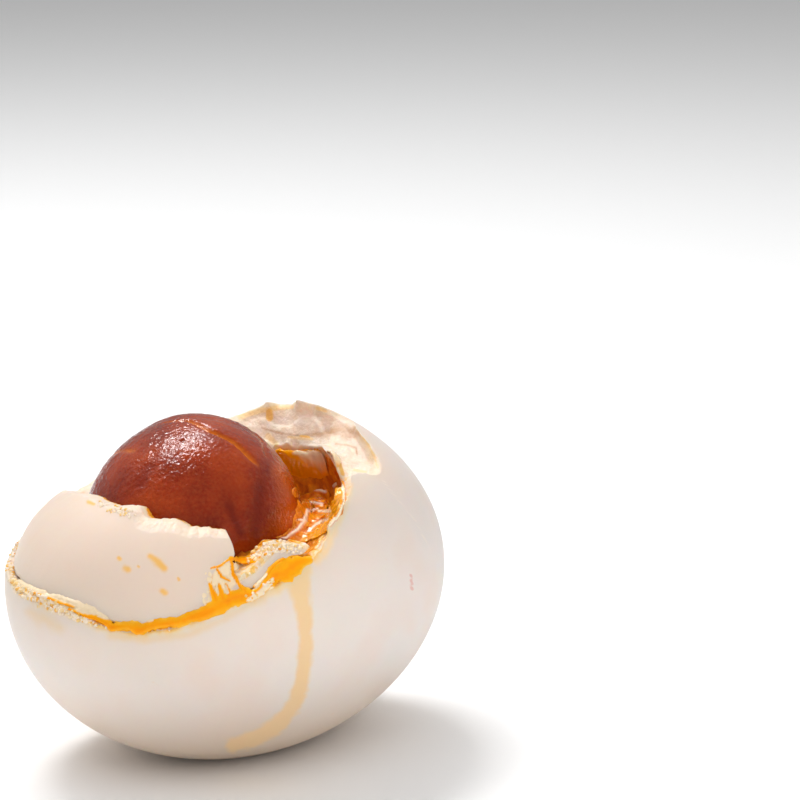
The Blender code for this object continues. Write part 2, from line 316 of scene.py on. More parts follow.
# %% Turn a bmesh into a piece
def object_from(name, shape):
    """An object at the origin with the bmesh as its mesh."""
    mesh = bpy.data.meshes.new(name)
    shape.to_mesh(mesh)
    shape.free()
    made = bpy.data.objects.new(name, mesh)
    bpy.context.scene.collection.objects.link(made)
    return made


def piece_from(name, shape, replaced=None):
    """A smooth piece that rides on the egg and may stand for a solid."""
    made = object_from(name, shape)
    made.data.shade_smooth()
    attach(made, "root")
    if replaced:
        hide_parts(replaced)
    print(name, len(made.data.polygons), "faces")
    return made


def points_of(piece):
    """The piece's points as an array, one row each."""
    flat = np.empty(len(piece.data.vertices) * 3, np.float32)
    piece.data.vertices.foreach_get("co", flat)
    return flat.reshape(-1, 3).astype(float)


def paint(piece, name, values):
    """Keeps one number for each point of the piece, for its material to read."""
    attribute = piece.data.attributes.new(name, "FLOAT", "POINT")
    attribute.data.foreach_set("value", np.asarray(values, np.float32))


def tree_of(*pieces):
    """The pieces' surfaces, ready for lines of sight to be traced to them."""
    shape = bmesh.new()
    for piece in pieces:
        shape.from_mesh(piece.data)
    made = BVHTree.FromBMesh(shape)
    shape.free()
    return made


def line_distance(points, line):
    """Each point's distance from a line of straight stretches, and how far along it that is."""
    best = np.full(len(points), np.inf)
    where = np.zeros(len(points))
    line = [np.array(p) for p in line]
    for k, (a, b) in enumerate(zip(line, line[1:])):
        t = np.clip((points - a) @ (b - a) / ((b - a) @ (b - a)), 0, 1)
        distance = np.linalg.norm(points - a - t[:, None] * (b - a), axis=1)
        nearer = distance < best
        best[nearer] = distance[nearer]
        where[nearer] = (k + t[nearer]) / (len(line) - 1)
    return best, where


def share_of(points, lines):
    """How deep each point shows within broad lines: 1 on a line, 0 at its side, less beyond."""
    pixels = in_picture(points)
    best = np.full(len(points), -1.0)
    for line in lines:
        distance, where = line_distance(pixels, [p[:2] for p in line])
        half = np.interp(where * (len(line) - 1), range(len(line)), [p[2] for p in line])
        best = np.maximum(best, 1 - distance / half)
    return best


# %% Turn colours and add nodes
def linear(hex_colour):
    """The linear red, green, blue and alpha of an sRGB colour such as E0CEC2."""
    channels = (int(hex_colour[k : k + 2], 16) / 255 for k in (0, 2, 4))
    return (*(c / 12.92 if c <= 0.04045 else ((c + 0.055) / 1.055) ** 2.4 for c in channels), 1)


def per(size):
    """The scale that gives a pattern lumps of this many millimetres."""
    return 1 / (size * MM)


def add(tree, kind, inputs=None, stops=(), **settings):
    """Adds a node with its settings, and links or sets its named inputs and its colour stops."""
    made = tree.nodes.new(kind)
    for k, (place, hex_colour) in enumerate(stops):
        stop = made.color_ramp.elements[k] if k < 2 else made.color_ramp.elements.new(place)
        stop.position, stop.color = place, linear(hex_colour)
    for name, value in settings.items():
        setattr(made, name, value)
    for name, value in (inputs or {}).items():
        if isinstance(value, bpy.types.NodeSocket):
            tree.links.new(value, made.inputs[name])
        else:
            made.inputs[name].default_value = value
    return made


# %% [markdown]
# ## The white
#
# Boiled white is one thick wall, smooth where the shell was and torn where it broke. It could be
# sculpted, but a rule is easier to keep on the solid: a ball's far half becomes the outside, the
# rows round its middle become the torn wall, and its near half turns inside out into the socket.
# The tear needs more than the solid has. Its layers part one after another, which leaves steps
# that run round the wall, and each step is crumbly.

# %% Rules for the tear
ROUND_THE_OPENING = 400
OUTER_ROWS = 100
TORN_ROWS = 44
SOCKET_ROWS = 56
ROWS = OUTER_ROWS + TORN_ROWS + SOCKET_ROWS
CROWDING = 1.5
FINE_RAGS = ((0.5, 0.9 * MM), (0.35, 0.45 * MM))
LEDGE_RAGS = ((1.2, 2.2 * MM), (0.8, 0.8 * MM))
RIM_ROUNDING = (-2.4, -1.2, 0, 1.2, 2.4)
RIM_SPREAD = (-12, -8, -4, 0, 4, 8, 12)
FLAKE_REACH = 0.13
TORN_LUMPS = ((0.26, 1.2 * MM), (0.14, 0.6 * MM), (0.07, 0.3 * MM))
TORN_ROUGHNESS = (
    (0, 0.4), (60, 0.6), (120, 0.7), (150, 1.3), (215, 1.2), (240, 0.8), (275, 0.8), (290, 1.3),
    (312, 1.0), (322, 0.3), (345, 0.3),
)
STEP_HEIGHT = ((0, 0.3), (45, 0.3), (90, 0.2), (150, 0.05), (290, 0.1), (330, 0.1), (345, 0.2))
STEPS = 2.4
GRAIN_SIZE = 0.5 * MM
GRAIN_HEIGHT = ((0, 0), (110, 0.02), (128, 0.2), (172, 0.2), (190, 0.05), (240, 0), (300, 0))


@functools.lru_cache(maxsize=None)
def torn_edges(turn):
    """The rim's tilt at this turn, and the turn and tilt of the socket's edge, both ragged."""
    tilt = sum(rim_tilt(turn + away) for away in RIM_ROUNDING) / len(RIM_ROUNDING)
    tilt += ragged(on_egg(turn, tilt), FINE_RAGS, seed=30)
    edge_turn, edge_tilt = socket_angles(turn)
    return tilt, edge_turn, edge_tilt + ragged(on_egg(turn, tilt), LEDGE_RAGS, seed=40)


@functools.lru_cache(maxsize=None)
def mean_edges(turn):
    """The rim's and the socket's edge without their flakes and notches, as two points."""
    turns = [turn + away for away in RIM_SPREAD]
    rims = (on_egg(turn, rim_tilt(t)) for t in turns)
    edges = (on_socket(socket_angles(turn)[0], socket_angles(t)[1]) for t in turns)
    return sum(rims, Vector()) / len(turns), sum(edges, Vector()) / len(turns)


def torn_height(point, turn, inward):
    """How far the torn wall stands up from a straight slope here, in millimetres."""
    sag = round_table(TORN_SAG, turn) * min(1, inward / SAG_DEEPEST) * (1 - inward)
    crag = round_table(CRAG_HEIGHT, turn) * math.sin(math.pi * inward)
    layer = inward * STEPS + rough(point, 5 * MM, seed=21)
    step = layer % 1
    steps = round_table(STEP_HEIGHT, turn) * (ease(step, 0, 0.3) - step)
    fine = round_table(TORN_ROUGHNESS, turn) * ragged(point, TORN_LUMPS, seed=50)
    grain = round_table(GRAIN_HEIGHT, turn)
    if grain > 0.01:
        fine += grain * grains(point, GRAIN_SIZE)
    ends = min(1, 8 * inward * (1.2 - inward))
    return crag * rough(point, CRAG_SIZE, seed=4) - sag + (steps + fine) * ends


def white_point(turn, row):
    """The white's surface: up its outside to the rim, over the torn wall and down the socket."""
    tilt, edge_turn, edge_tilt = torn_edges(turn)
    if row <= OUTER_ROWS:
        climbed = 1 - (1 - row / OUTER_ROWS) ** CROWDING
        return on_egg(turn, 180 - (180 - tilt) * climbed)
    if row >= OUTER_ROWS + TORN_ROWS:
        down = (row - OUTER_ROWS - TORN_ROWS) / SOCKET_ROWS
        return on_socket(edge_turn, edge_tilt + (180 - edge_tilt) * down)
    inward = (row - OUTER_ROWS) / TORN_ROWS
    outer, inner = mean_edges(turn)
    outer = outer.lerp(on_egg(turn, tilt), math.exp(-inward / FLAKE_REACH))
    inner = inner.lerp(on_socket(edge_turn, edge_tilt), math.exp((inward - 1) / FLAKE_REACH))
    point = outer.lerp(inner, inward)
    return point + OPENING_AXIS * torn_height(point, turn, inward) * MM


# %% [markdown]
# The oil has crept furthest where the yolk touched the wall, so the socket is soaked through, the
# torn wall is soaked from its inner edge outwards, and the skin only close to the crack.

# %% Rules for how torn and how oily the white is
SOAKED_TORN = (
    (0, 0.06), (40, 0.1), (100, 0.2), (150, 0.2), (215, 0.4), (240, 0.8), (275, 0.9), (290, 0.8),
    (305, 0.55), (318, 0.3), (340, 0.12),
)
SOAKED_SOCKET = ((0, 0.1), (0.04, 0.18), (0.08, 0.36), (0.14, 0.56), (0.24, 0.72), (0.4, 0.84), (0.6, 0.95))
SOAKED_SKIN = ((0, 0), (150, 0.1), (180, 0.2), (215, 0.3), (260, 0.35), (300, 0.2), (330, 0.05))
SKIN_REACH = 0.9
DEGREE_OF_SKIN = 0.38
WARM_REACH = 14
SOCKET_TORN = 0.4


def torn_here(row):
    """1 on the torn wall, 0 on the skin, and between them in the socket, which is smoother."""
    return 0.0 if row <= OUTER_ROWS else 1.0 if row <= OUTER_ROWS + TORN_ROWS else SOCKET_TORN


def oily_here(turn, row):
    """How much oil has soaked in, from 0 to 1."""
    tilt = torn_edges(turn)[0]
    if row <= OUTER_ROWS:
        away = (180 - tilt) * (1 - row / OUTER_ROWS) ** CROWDING * DEGREE_OF_SKIN
        return round_table(SOAKED_SKIN, turn) * math.exp(-away / SKIN_REACH)
    inward = (row - OUTER_ROWS) / TORN_ROWS
    if inward <= 1:
        return round_table(SOAKED_TORN, turn) * (0.3 + 0.7 * inward**1.5)
    down = (inward - 1) * TORN_ROWS / SOCKET_ROWS
    return along(SOAKED_SOCKET, down)


def warm_here(turn, row):
    """How warm the skin's tint is: most near the opening."""
    away = (180 - torn_edges(turn)[0]) * (1 - row / OUTER_ROWS) ** CROWDING if row < OUTER_ROWS else 0
    return 0.75 * math.exp(-away / WARM_REACH)


# %% Make the white
def place_white():
    shape = bmesh.new()
    bmesh.ops.create_uvsphere(shape, u_segments=ROUND_THE_OPENING, v_segments=ROWS, radius=1)
    torn = shape.verts.layers.float.new("torn")
    oily = shape.verts.layers.float.new("oily")
    warm = shape.verts.layers.float.new("warm")
    for vertex in shape.verts:
        x, y, z = vertex.co
        row = round((1 - math.acos(max(-1, min(1, z))) / math.pi) * ROWS, 3)
        turn = round(math.degrees(math.atan2(y, x)), 3)
        vertex.co = white_point(turn, row) + EGG_CENTRE
        vertex[torn] = torn_here(row)
        vertex[oily] = oily_here(turn, row)
        vertex[warm] = warm_here(turn, row)
    everything = shape.verts[:] + shape.edges[:] + shape.faces[:]
    cut = bmesh.ops.bisect_plane(
        shape, geom=everything, dist=1e-6, plane_co=(0, 0, 0), plane_no=(0, 0, 1), clear_inner=True
    )
    edges = [e for e in cut["geom_cut"] if isinstance(e, bmesh.types.BMEdge)]
    bmesh.ops.edgeloop_fill(shape, edges=edges)
    bmesh.ops.recalc_face_normals(shape, faces=shape.faces)
    return shape


white = piece_from("white_body", place_white(), "egg_white")

# %% [markdown]
# ## The loose slab and the chip
#
# Both are pieces of the same wall. A block is cut into a fine grid on every side, and each point
# is put along the piece, up it and into the wall. The torn top is crumbly, the skin stays smooth.

# %% Rules for the loose pieces
SLAB_CUTS = (260, 84, 24)
CHIP_CUTS = (100, 40, 24)
SLAB_TOP_RAGS = ((0.5, 0.8 * MM), (0.3, 0.4 * MM))
CRUMBLY_LUMPS = ((0.14, 1.0 * MM), (0.06, 0.4 * MM))
CRUMBLY_GRAINS = 0.14
# How far, in degrees, the chip's torn left end reaches under the slab
SHREDS = 2.6


def clear_of_yolk(point):
    """Whether the point lies outside the socket and clear of the yolk."""
    away = point - SOCKET_CENTRE
    outside = Vector(a / r for a, r in zip(away, SOCKET_RADII)).length > PIECES_TO_SOCKET
    return outside and (point - YOLK_CENTRE).length > YOLK_DIAMETER / 2 + YOLK_TO_PIECES


def into_wall(outer, ledge, depth, thickness):
    """Moves a point of the outer surface inwards by a ledge, then by a share of the thickness."""
    inward = (SOCKET_CENTRE - outer).normalized()
    start = outer + inward * ledge * MM
    room = thickness
    while room > THINNEST and not clear_of_yolk(start + inward * room):
        room -= THINNING
    return start + inward * room * depth


def crumble(point, seed):
    """How far torn flesh lies back here, in millimetres: packed grains on larger lumps."""
    return ragged(point, CRUMBLY_LUMPS, seed) - CRUMBLY_GRAINS * grains(point, GRAIN_SIZE, seed)


def slab_point(along_it, up, depth):
    """The loose slab: along its length, up from the crack to its torn top, and into the wall."""
    right = along(SLAB_RIGHT_EDGE, up)
    turn = SLAB_LEFT + (right - SLAB_LEFT) * along_it
    turn += SLAB_LEFT_WAVE * (1 - along_it) * math.sin(5 * up) * (1 - depth)
    bottom = rim_tilt(turn) - SLAB_SEAM
    top = along(SLAB_TOP, turn)
    near = on_egg(turn, top)
    top += ragged(near, SLAB_RAGS, seed=2) + ragged(near, SLAB_TOP_RAGS, seed=60)
    outer = on_egg(turn, bottom + (top - bottom) * up)
    lean = along(SLAB_LEDGE, turn) + (along(SLAB_LEAN, turn) - along(SLAB_LEDGE, turn)) * up**1.4
    bevel = along(BEVEL_START, turn)
    lean += BEVEL_DEPTH * max(0, up - bevel) / (1 - bevel)
    crumbly = ease(up, bevel - 0.02, bevel + 0.06)
    lean += crumbly * crumble(outer, seed=70)
    return into_wall(outer, lean, depth, SLAB_THICKNESS)


def chip_point(along_it, up, depth):
    """The chip in the gap between the slab and the rim, laid out as the slab is."""
    left = along(SLAB_RIGHT_EDGE, CHIP_HEIGHT_ON_SLAB * up) + CHIP_TO_SLAB - SHREDS
    turn = left + (CHIP_RIGHT - left) * along_it
    bottom = rim_tilt(turn) - along(CHIP_SEAM, turn)
    top = min(along(CHIP_TOP, turn), bottom - CHIP_LOWEST)
    top += ragged(on_egg(turn, top), CHIP_RAGS, seed=6)
    outer = on_egg(turn, bottom + (top - bottom) * up)
    crumbly = ease(up, 0.6, 0.75)
    ledge = CHIP_LEDGE + CHIP_LEAN * up**2 + 1.5 * crumbly * crumble(outer, seed=80)
    return into_wall(outer, ledge, depth, CHIP_THICKNESS)


# %% Make the loose pieces
def block(cuts):
    """A block that reaches from -1 to 1, cut into a grid on every side."""
    shape = bmesh.new()
    bmesh.ops.create_cube(shape, size=2)
    for axis, count in enumerate(cuts):
        running = [
            e for e in shape.edges
            if count and abs(e.verts[0].co[axis] - e.verts[1].co[axis]) > 1e-6
        ]
        bmesh.ops.subdivide_edges(shape, edges=running, cuts=count, use_grid_fill=True)
    return shape


def place_wall_piece(place, cuts, torn_at, oily_at):
    """A block with each of its points put where the rule says, and painted."""
    shape = block(cuts)
    torn = shape.verts.layers.float.new("torn")
    oily = shape.verts.layers.float.new("oily")
    warm = shape.verts.layers.float.new("warm")
    for vertex in shape.verts:
        x, y, z = ((c + 1) / 2 for c in vertex.co)
        vertex[warm] = 1
        vertex.co = place(x, y, 1 - z) + EGG_CENTRE
        vertex[torn] = torn_at(x, y, 1 - z)
        vertex[oily] = oily_at(x, y, 1 - z)
    return shape


def slab_torn(along_it, up, depth):
    """The slab is torn on its top and its ends, and wherever it is below the skin."""
    bevel = along(BEVEL_START, SLAB_LEFT + (SLAB_RIGHT_EDGE[-1][1] - SLAB_LEFT) * along_it)
    return float(max(ease(up, bevel, bevel + 0.06), ease(depth, 0, 0.08)))


def slab_oily(along_it, up, depth):
    """Oil soaks the slab from the yolk's side and from its right end."""
    right_end = ease(along_it, 0.975, 1.0) * ease(0.45 - up, 0, 0.2)
    foot = ease(0.04 - up, 0, 0.04) * ease(along_it, 0.3, 0.5)
    return float(max(0.45 * ease(depth, 0.1, 0.9), 0.3 * right_end, 0.3 * foot))


def chip_torn(along_it, up, depth):
    return float(max(ease(up, 0.55, 0.7), ease(depth, 0, 0.08)))


def chip_oily(along_it, up, depth):
    edges = max(ease(0.08 - up, 0, 0.08), ease(0.05 - along_it, 0, 0.05), 0.6 * ease(along_it, 0.8, 1))
    return float(max(0.4 * ease(depth, 0.2, 0.9), 0.4 * edges, 0.22 * ease(up, 0.55, 0.7)))


slab = piece_from(
    "slab", place_wall_piece(slab_point, SLAB_CUTS, slab_torn, slab_oily), "loose_slab"
)
chip = piece_from(
    "chip", place_wall_piece(chip_point, CHIP_CUTS, chip_torn, chip_oily), "white_chip"
)

# %% [markdown]
# ## The yolk
#
# A salted yolk sets into a firm, oily ball. Its skin is finely pebbled, it has two creases where
# the ball slipped while it set, and its near side sags in two shallow grooves. A ball of many
# small triangles is moved in and out by the same rule as the solid, and then by finer ones.

# %% Make the yolk
BALL_SUBDIVISIONS = 7
PEBBLES = ((0.035 * MM, 0.9 * MM), (0.055 * MM, 0.42 * MM))


def yolk_radius(away):
    """The yolk's radius in this direction: a ball with a flat shoulder and a cap that bulges."""
    shoulder = max(0, away.dot(SHOULDER_AXIS) - SHOULDER_START) / (1 - SHOULDER_START)
    cap = min(1, max(0, away.dot(CAP_AXIS) - CAP_START) / CAP_EDGE)
    lumps = YOLK_LUMP_HEIGHT * (1 - rough(away, YOLK_LUMP, seed=5))
    return YOLK_DIAMETER / 2 - SHOULDER_DEPTH * shoulder**1.5 - CAP_STEP * (1 - cap) - lumps


def place_yolk():
    shape = bmesh.new()
    bmesh.ops.create_icosphere(shape, subdivisions=BALL_SUBDIVISIONS, radius=1)
    for vertex in shape.verts:
        away = vertex.co.normalized()
        radius = yolk_radius(away)
        radius += ragged(away * radius, PEBBLES, seed=90) - sum(height for height, size in PEBBLES)
        vertex.co = EGG_CENTRE + YOLK_CENTRE + away * radius
    return shape


yolk = piece_from("yolk_ball", place_yolk(), "yolk")

# %% [markdown]
# The creases and grooves were read off the photograph as a few pixels each. A line of sight
# through each pixel finds its place on the ball, and the ball sinks by its distance from the line.

# %% Sink the creases and grooves into the yolk
LONG_CREASE = (
    (166, 422), (188, 420), (200, 425), (209, 430), (219, 434), (231, 440), (240, 447), (249, 456),
    (257, 464),
)
SHORT_CREASE = ((108, 455), (115, 453), (134, 451))
BACK_CREASE = ((238, 419), (253, 431), (262, 440), (266, 456))
GROOVES = (
    ((227, 500), (235, 520), (244, 538)), ((263, 480), (259, 500), (256, 520), (255, 541)),
)
LEFT_DENT = ((152, 462), (143, 476), (138, 490))
PIT = ((182, 440), (183, 440.5))
# What each line sinks, in millimetres: its depth and its half width
SUNK_LINES = (
    ("crease", LONG_CREASE, 0.42, 0.30),
    ("crease", SHORT_CREASE, 0.20, 0.25),
    ("back_crease", BACK_CREASE, 0.30, 0.28),
    ("pit", PIT, 0.30, 0.25),
    ("shaded_groove", GROOVES[0], 0.14, 0.6),
    ("shaded_groove", GROOVES[1], 0.14, 0.9),
    ("dent", LEFT_DENT, 0.10, 1.0),
)


def sink_lines(piece, lines, centre):
    """Sinks each line into the piece towards its centre, and paints where it is."""
    tree = tree_of(piece)
    points = points_of(piece)
    inward = np.array(centre) - points
    inward /= np.linalg.norm(inward, axis=1)[:, None]
    sunk = np.zeros(len(points))
    marks = {}
    for kind, pixels, depth, half_width in lines:
        distance, where = line_distance(points, [seen_on(tree, p) for p in pixels])
        ends = np.minimum(1, 6 * np.minimum(where, 1 - where) + 0.35)
        share = np.exp(-((distance / (half_width * MM)) ** 2)) * ends
        sunk = np.maximum(sunk, depth * MM * share)
        marks[kind] = np.maximum(marks.get(kind, 0), share)
    piece.data.vertices.foreach_set("co", (points + inward * sunk[:, None]).astype(np.float32).ravel())
    piece.data.update()
    for kind, share in marks.items():
        paint(piece, kind, share)
    return marks


# The yolk's right side, painted lighter and browner as a painted glow, as (pixel, pixel, half width in
# pixels)
GLOW_SIDE = (((280, 470, 12), (290, 490, 18), (293, 510, 18), (286, 530, 12)),)
found = sink_lines(yolk, SUNK_LINES, EGG_CENTRE + YOLK_CENTRE)
paint(yolk, "amber", np.clip(share_of(points_of(yolk), GLOW_SIDE), 0, 1))
print({kind: round(float(share.max()), 2) for kind, share in found.items()})

# %% [markdown]
# ## The oil
#
# Egg oil stands in the socket beside the yolk. It wets both walls, so its surface climbs where it
# meets them. The solid's mesh is copied, merged and remeshed finely, its walls are let out to
# meet the white and the yolk, and the points of its top are lifted.

# %% Make the standing oil
OIL_GRID = 0.25 * MM
LET_OUT = 0.75 * MM
CLIMB = 0.7 * MM
CLIMB_REACH = 0.9 * MM
RIPPLES = ((0.10 * MM, 3.0 * MM), (0.05 * MM, 1.2 * MM))


def place_oil():
    shape = bmesh.new()
    shape.from_mesh(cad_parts["yolk_oil"].data)
    bmesh.ops.remove_doubles(shape, verts=shape.verts, dist=1e-6)
    holder = object_from("oil_draft", shape)
    remesh = holder.modifiers.new("even", "REMESH")
    remesh.mode = "VOXEL"
    remesh.voxel_size = OIL_GRID
    evaluated = holder.evaluated_get(bpy.context.evaluated_depsgraph_get())
    shape = bmesh.new()
    shape.from_mesh(evaluated.to_mesh())
    evaluated.to_mesh_clear()
    bpy.data.objects.remove(holder)
    level = EGG_CENTRE.z + OIL_LEVEL
    yolk_middle = EGG_CENTRE + YOLK_CENTRE
    moved = []
    for vertex in shape.verts:
        point = vertex.co.copy()
        if vertex.normal.z < 0.5:
            point += vertex.normal * LET_OUT
        if vertex.co.z > level - OIL_GRID:
            from_yolk = (point - yolk_middle).length - YOLK_DIAMETER / 2
            point.z += CLIMB * math.exp(-max(0, from_yolk) / CLIMB_REACH) + ragged(point, RIPPLES, seed=100)
        moved.append(point)
    for vertex, point in zip(shape.verts, moved):
        vertex.co = point
    return shape


pool = piece_from("standing_oil", place_oil(), "yolk_oil")

# %% [markdown]
# ## Oil in the cracks
#
# Oil has welled out of every crack. It could be a strip of mesh laid along the rim, but a strip
# knows nothing of the pieces under it. A sheet is draped instead: from each of its points a line
# is traced inwards to the first piece it meets. Where there is oil the sheet is pulled taut over the
# gaps and raised, and where there is none it sinks out of sight and is cut away.

# %% Drape a sheet over the pieces
# How deep a sheet lies where it doesn't show, how thick it is, and its longest edge before it tears
HIDDEN = 0.25 * MM
SHEET = 0.5 * MM
LONGEST = 0.9 * MM


def rays_round_rim(turns, tilts, counts):
    """A grid of lines out of the egg's middle, between these turns and these tilts from the rim."""
    away = np.zeros((*counts, 3))
    for i, j in np.ndindex(*counts):
        turn = turns[0] + (turns[1] - turns[0]) * i / (counts[0] - 1)
        tilt = round_table(RIM_TILT, turn) + tilts[0] + (tilts[1] - tilts[0]) * j / (counts[1] - 1)
        away[i, j] = on_egg(turn, tilt).normalized()
    return np.array(EGG_CENTRE) + away * 0, away


def rays_along(direction, middle, half_side, count):
    """A square grid of parallel lines in this direction, with its middle at this point."""
    across = direction.cross(Vector((0, 0, 1))).normalized()
    steps = np.linspace(-half_side, half_side, count)
    start = np.array(middle) + steps[:, None, None] * np.array(across)
    start = start + steps[None, :, None] * np.array(across.cross(direction))
    return start, start * 0 + np.array(direction)


def drape(name, over, rays, rise_at, taut_at=None, pulls=0):
    """A thin sheet over the pieces, as high as rise_at says, pulled taut where taut_at says so."""
    tree = tree_of(*over)
    start, away = rays
    counts = away.shape[:2]
    reach = np.zeros(counts)
    for i, j in np.ndindex(*counts):
        along_ray = Vector(away[i, j])
        met = tree.ray_cast(Vector(start[i, j]) + along_ray * EGG_LENGTH, -along_ray)[0]
        reach[i, j] = (met - Vector(start[i, j])).dot(along_ray) if met else -SHEET
    if taut_at:
        taut = reach.copy()
        for _ in range(pulls):
            ringed = np.pad(taut, 1, mode="edge")
            mean = (ringed[2:, 1:-1] + ringed[:-2, 1:-1] + ringed[1:-1, 2:] + ringed[1:-1, :-2]) / 4
            taut = np.maximum(reach, mean)
        tautness = taut_at((start + away * taut[..., None]).reshape(-1, 3)).reshape(counts)
        reach = reach + (taut - reach) * tautness
    level = start + away * reach[..., None]
    rise, paints = rise_at(level.reshape(-1, 3))
    points = level + away * rise.reshape(counts)[..., None]
    shape = bmesh.new()
    bmesh.ops.create_grid(shape, x_segments=counts[0] - 1, y_segments=counts[1] - 1, size=1)
    layers = {kind: shape.verts.layers.float.new(kind) for kind in paints}
    below = shape.verts.layers.float_vector.new("below")
    sunk = set()
    for vertex in shape.verts:
        i, j = (round((c + 1) / 2 * (n - 1)) for c, n in zip(vertex.co, counts))
        if rise[i * counts[1] + j] <= -HIDDEN:
            sunk.add(vertex)
        for kind, values in paints.items():
            vertex[layers[kind]] = values[i * counts[1] + j]
        vertex[below] = Vector(away[i, j]) * -SHEET
        vertex.co = Vector(points[i, j])
    useless = [
        face for face in shape.faces
        if sunk.issuperset(face.verts) or max(edge.calc_length() for edge in face.edges) > LONGEST
    ]
    bmesh.ops.delete(shape, geom=useless, context="FACES")
    doubled = bmesh.ops.extrude_face_region(shape, geom=shape.faces[:], use_keep_orig=True)["geom"]
    for vertex in doubled:
        if isinstance(vertex, bmesh.types.BMVert):
            vertex.co += vertex[below]
    bmesh.ops.recalc_face_normals(shape, faces=shape.faces)
    return piece_from(name, shape)


def sheet_rise(share, up):
    """The height up where the share is above 0. Beside it the sheet dips until it is hidden."""
    return np.where(share > 0, up, HIDDEN * np.maximum(share * 4, -1))


def noise_at(points, rags, seed=0):
    """Ragged noise at each point, in the units of its heights."""
    return np.array([ragged(Vector(p), rags, seed) for p in points])


# %% [markdown]
# Each broad line is a row of (pixel, pixel, half width in pixels) read off the photograph: along
# the crack below the slab, up between the slab and the chip, and over the foot of the chip.

# %% Lay the oil that fills the crack
CRACK_OIL = (
    ((34, 592, 0.9), (50, 598, 1.4), (62, 603, 1.4), (74, 607, 1)),
    ((70, 609, 1.4), (83, 615, 2), (95, 618, 3), (104, 622, 3.6), (112, 627, 4.4), (121, 626, 5.5),
     (130, 626, 6), (138, 629, 6), (142, 630, 5), (149, 626, 5.5), (160, 624, 5.5), (170, 623, 6),
     (177, 622, 6.2), (187, 619, 6.2), (198, 615, 6), (208, 611, 7), (216, 607, 9), (225, 602, 9),
     (237, 597, 9), (248, 594, 8)),
    ((216, 600, 4), (213, 592, 3), (210, 584, 1.4)), ((223, 598, 4), (221, 591, 2.5), (219, 584, 1.2)),
    ((229, 596, 4), (228, 589, 2), (226, 584, 1.0)),
    ((246, 592, 3.5), (239, 584, 2), (233, 573, 1.8), (232, 562, 2.2)),
    ((231, 559, 3), (243, 560, 4.5), (254, 560, 3.5)),
    ((211, 568, 0.9), (220, 566, 1.5), (228, 560, 1.2)), ((217, 569, 0.9), (222, 577, 1.5), (230, 581, 0.9)),
    ((254, 587, 1.6), (264, 578, 1.8), (273, 566, 2), (283, 559, 1.8)),
    ((250, 596, 5), (262, 590, 5), (268, 583, 7), (274, 576, 10), (284, 571, 11.5), (296, 564, 10),
     (308, 559, 5)),
)
CRACK_PALE = (
    ((248, 600, 2), (257, 596, 4), (266, 588, 4), (272, 579, 1.5)), ((256, 586, 2), (266, 574, 1.5)),
    ((262, 600, 1.5), (272, 588, 2)), ((225, 586, 2), (227, 592, 2)), ((143, 621, 1.8), (152, 620, 1.8)),
)
# Torn white that closes the gap beside the slab, and left of where the oil begins
CRACK_FILL = (
    ((206, 602, 4), (208, 588, 6), (213, 577, 8), (222, 570, 9), (233, 566, 7)),
    ((220, 595, 8), (225, 582, 11), (236, 578, 6)), ((252, 594, 5), (262, 586, 5)),
    ((12, 581, 4), (20, 587, 5), (32, 593, 7), (46, 599, 7), (60, 603, 7.5), (75, 608, 7.5), (90, 614, 7),
     (104, 619, 4)),
)
OIL_HEIGHT = 0.2 * MM
OIL_EDGE = ((0.30, 1.2 * MM), (0.20, 0.45 * MM))
OIL_SURFACE = ((0.05 * MM, 1.4 * MM), (0.03 * MM, 0.6 * MM))
FILL_GRAINS = 0.1 * MM


def crack_shares(points):
    """How deep each point shows in the oil, in the pale specks and in the white that fills gaps."""
    edge = noise_at(points, OIL_EDGE, seed=110)
    return (
        share_of(points, CRACK_OIL) + edge, share_of(points, CRACK_PALE) + edge * 1.5,
        share_of(points, CRACK_FILL) + edge,
    )


def crack_taut(points):
    oil, pale, fill = crack_shares(points)
    return np.clip(np.maximum(oil, fill) * 4, 0, 1)


def crack_rise(points):
    oil, pale, fill = crack_shares(points)
    share = np.maximum(oil, fill)
    inside = np.clip(share * 1.5, 0, 1)
    white_here = np.clip(np.maximum(1 - 12 * np.maximum(oil, 0), pale * 3), 0, 1)
    white_here = np.where((fill > -0.5) | (pale > 0), white_here, 0)
    grain = np.array([grains(Vector(p), GRAIN_SIZE, 9) for p in points]) * FILL_GRAINS * white_here
    ripple = noise_at(points, OIL_SURFACE, seed=120)
    up = (OIL_HEIGHT * np.where(oil > 0, np.sqrt(inside), -0.3) + ripple + grain) * np.sqrt(inside)
    return sheet_rise(share, up), {"thick": np.clip(oil, 0, 1), "pale": white_here}


crack_rays = rays_round_rim((124, 302), (4, -16), (600, 80))
crack_oil = drape("crack_oil", (white, slab, chip), crack_rays, crack_rise, crack_taut, pulls=500)
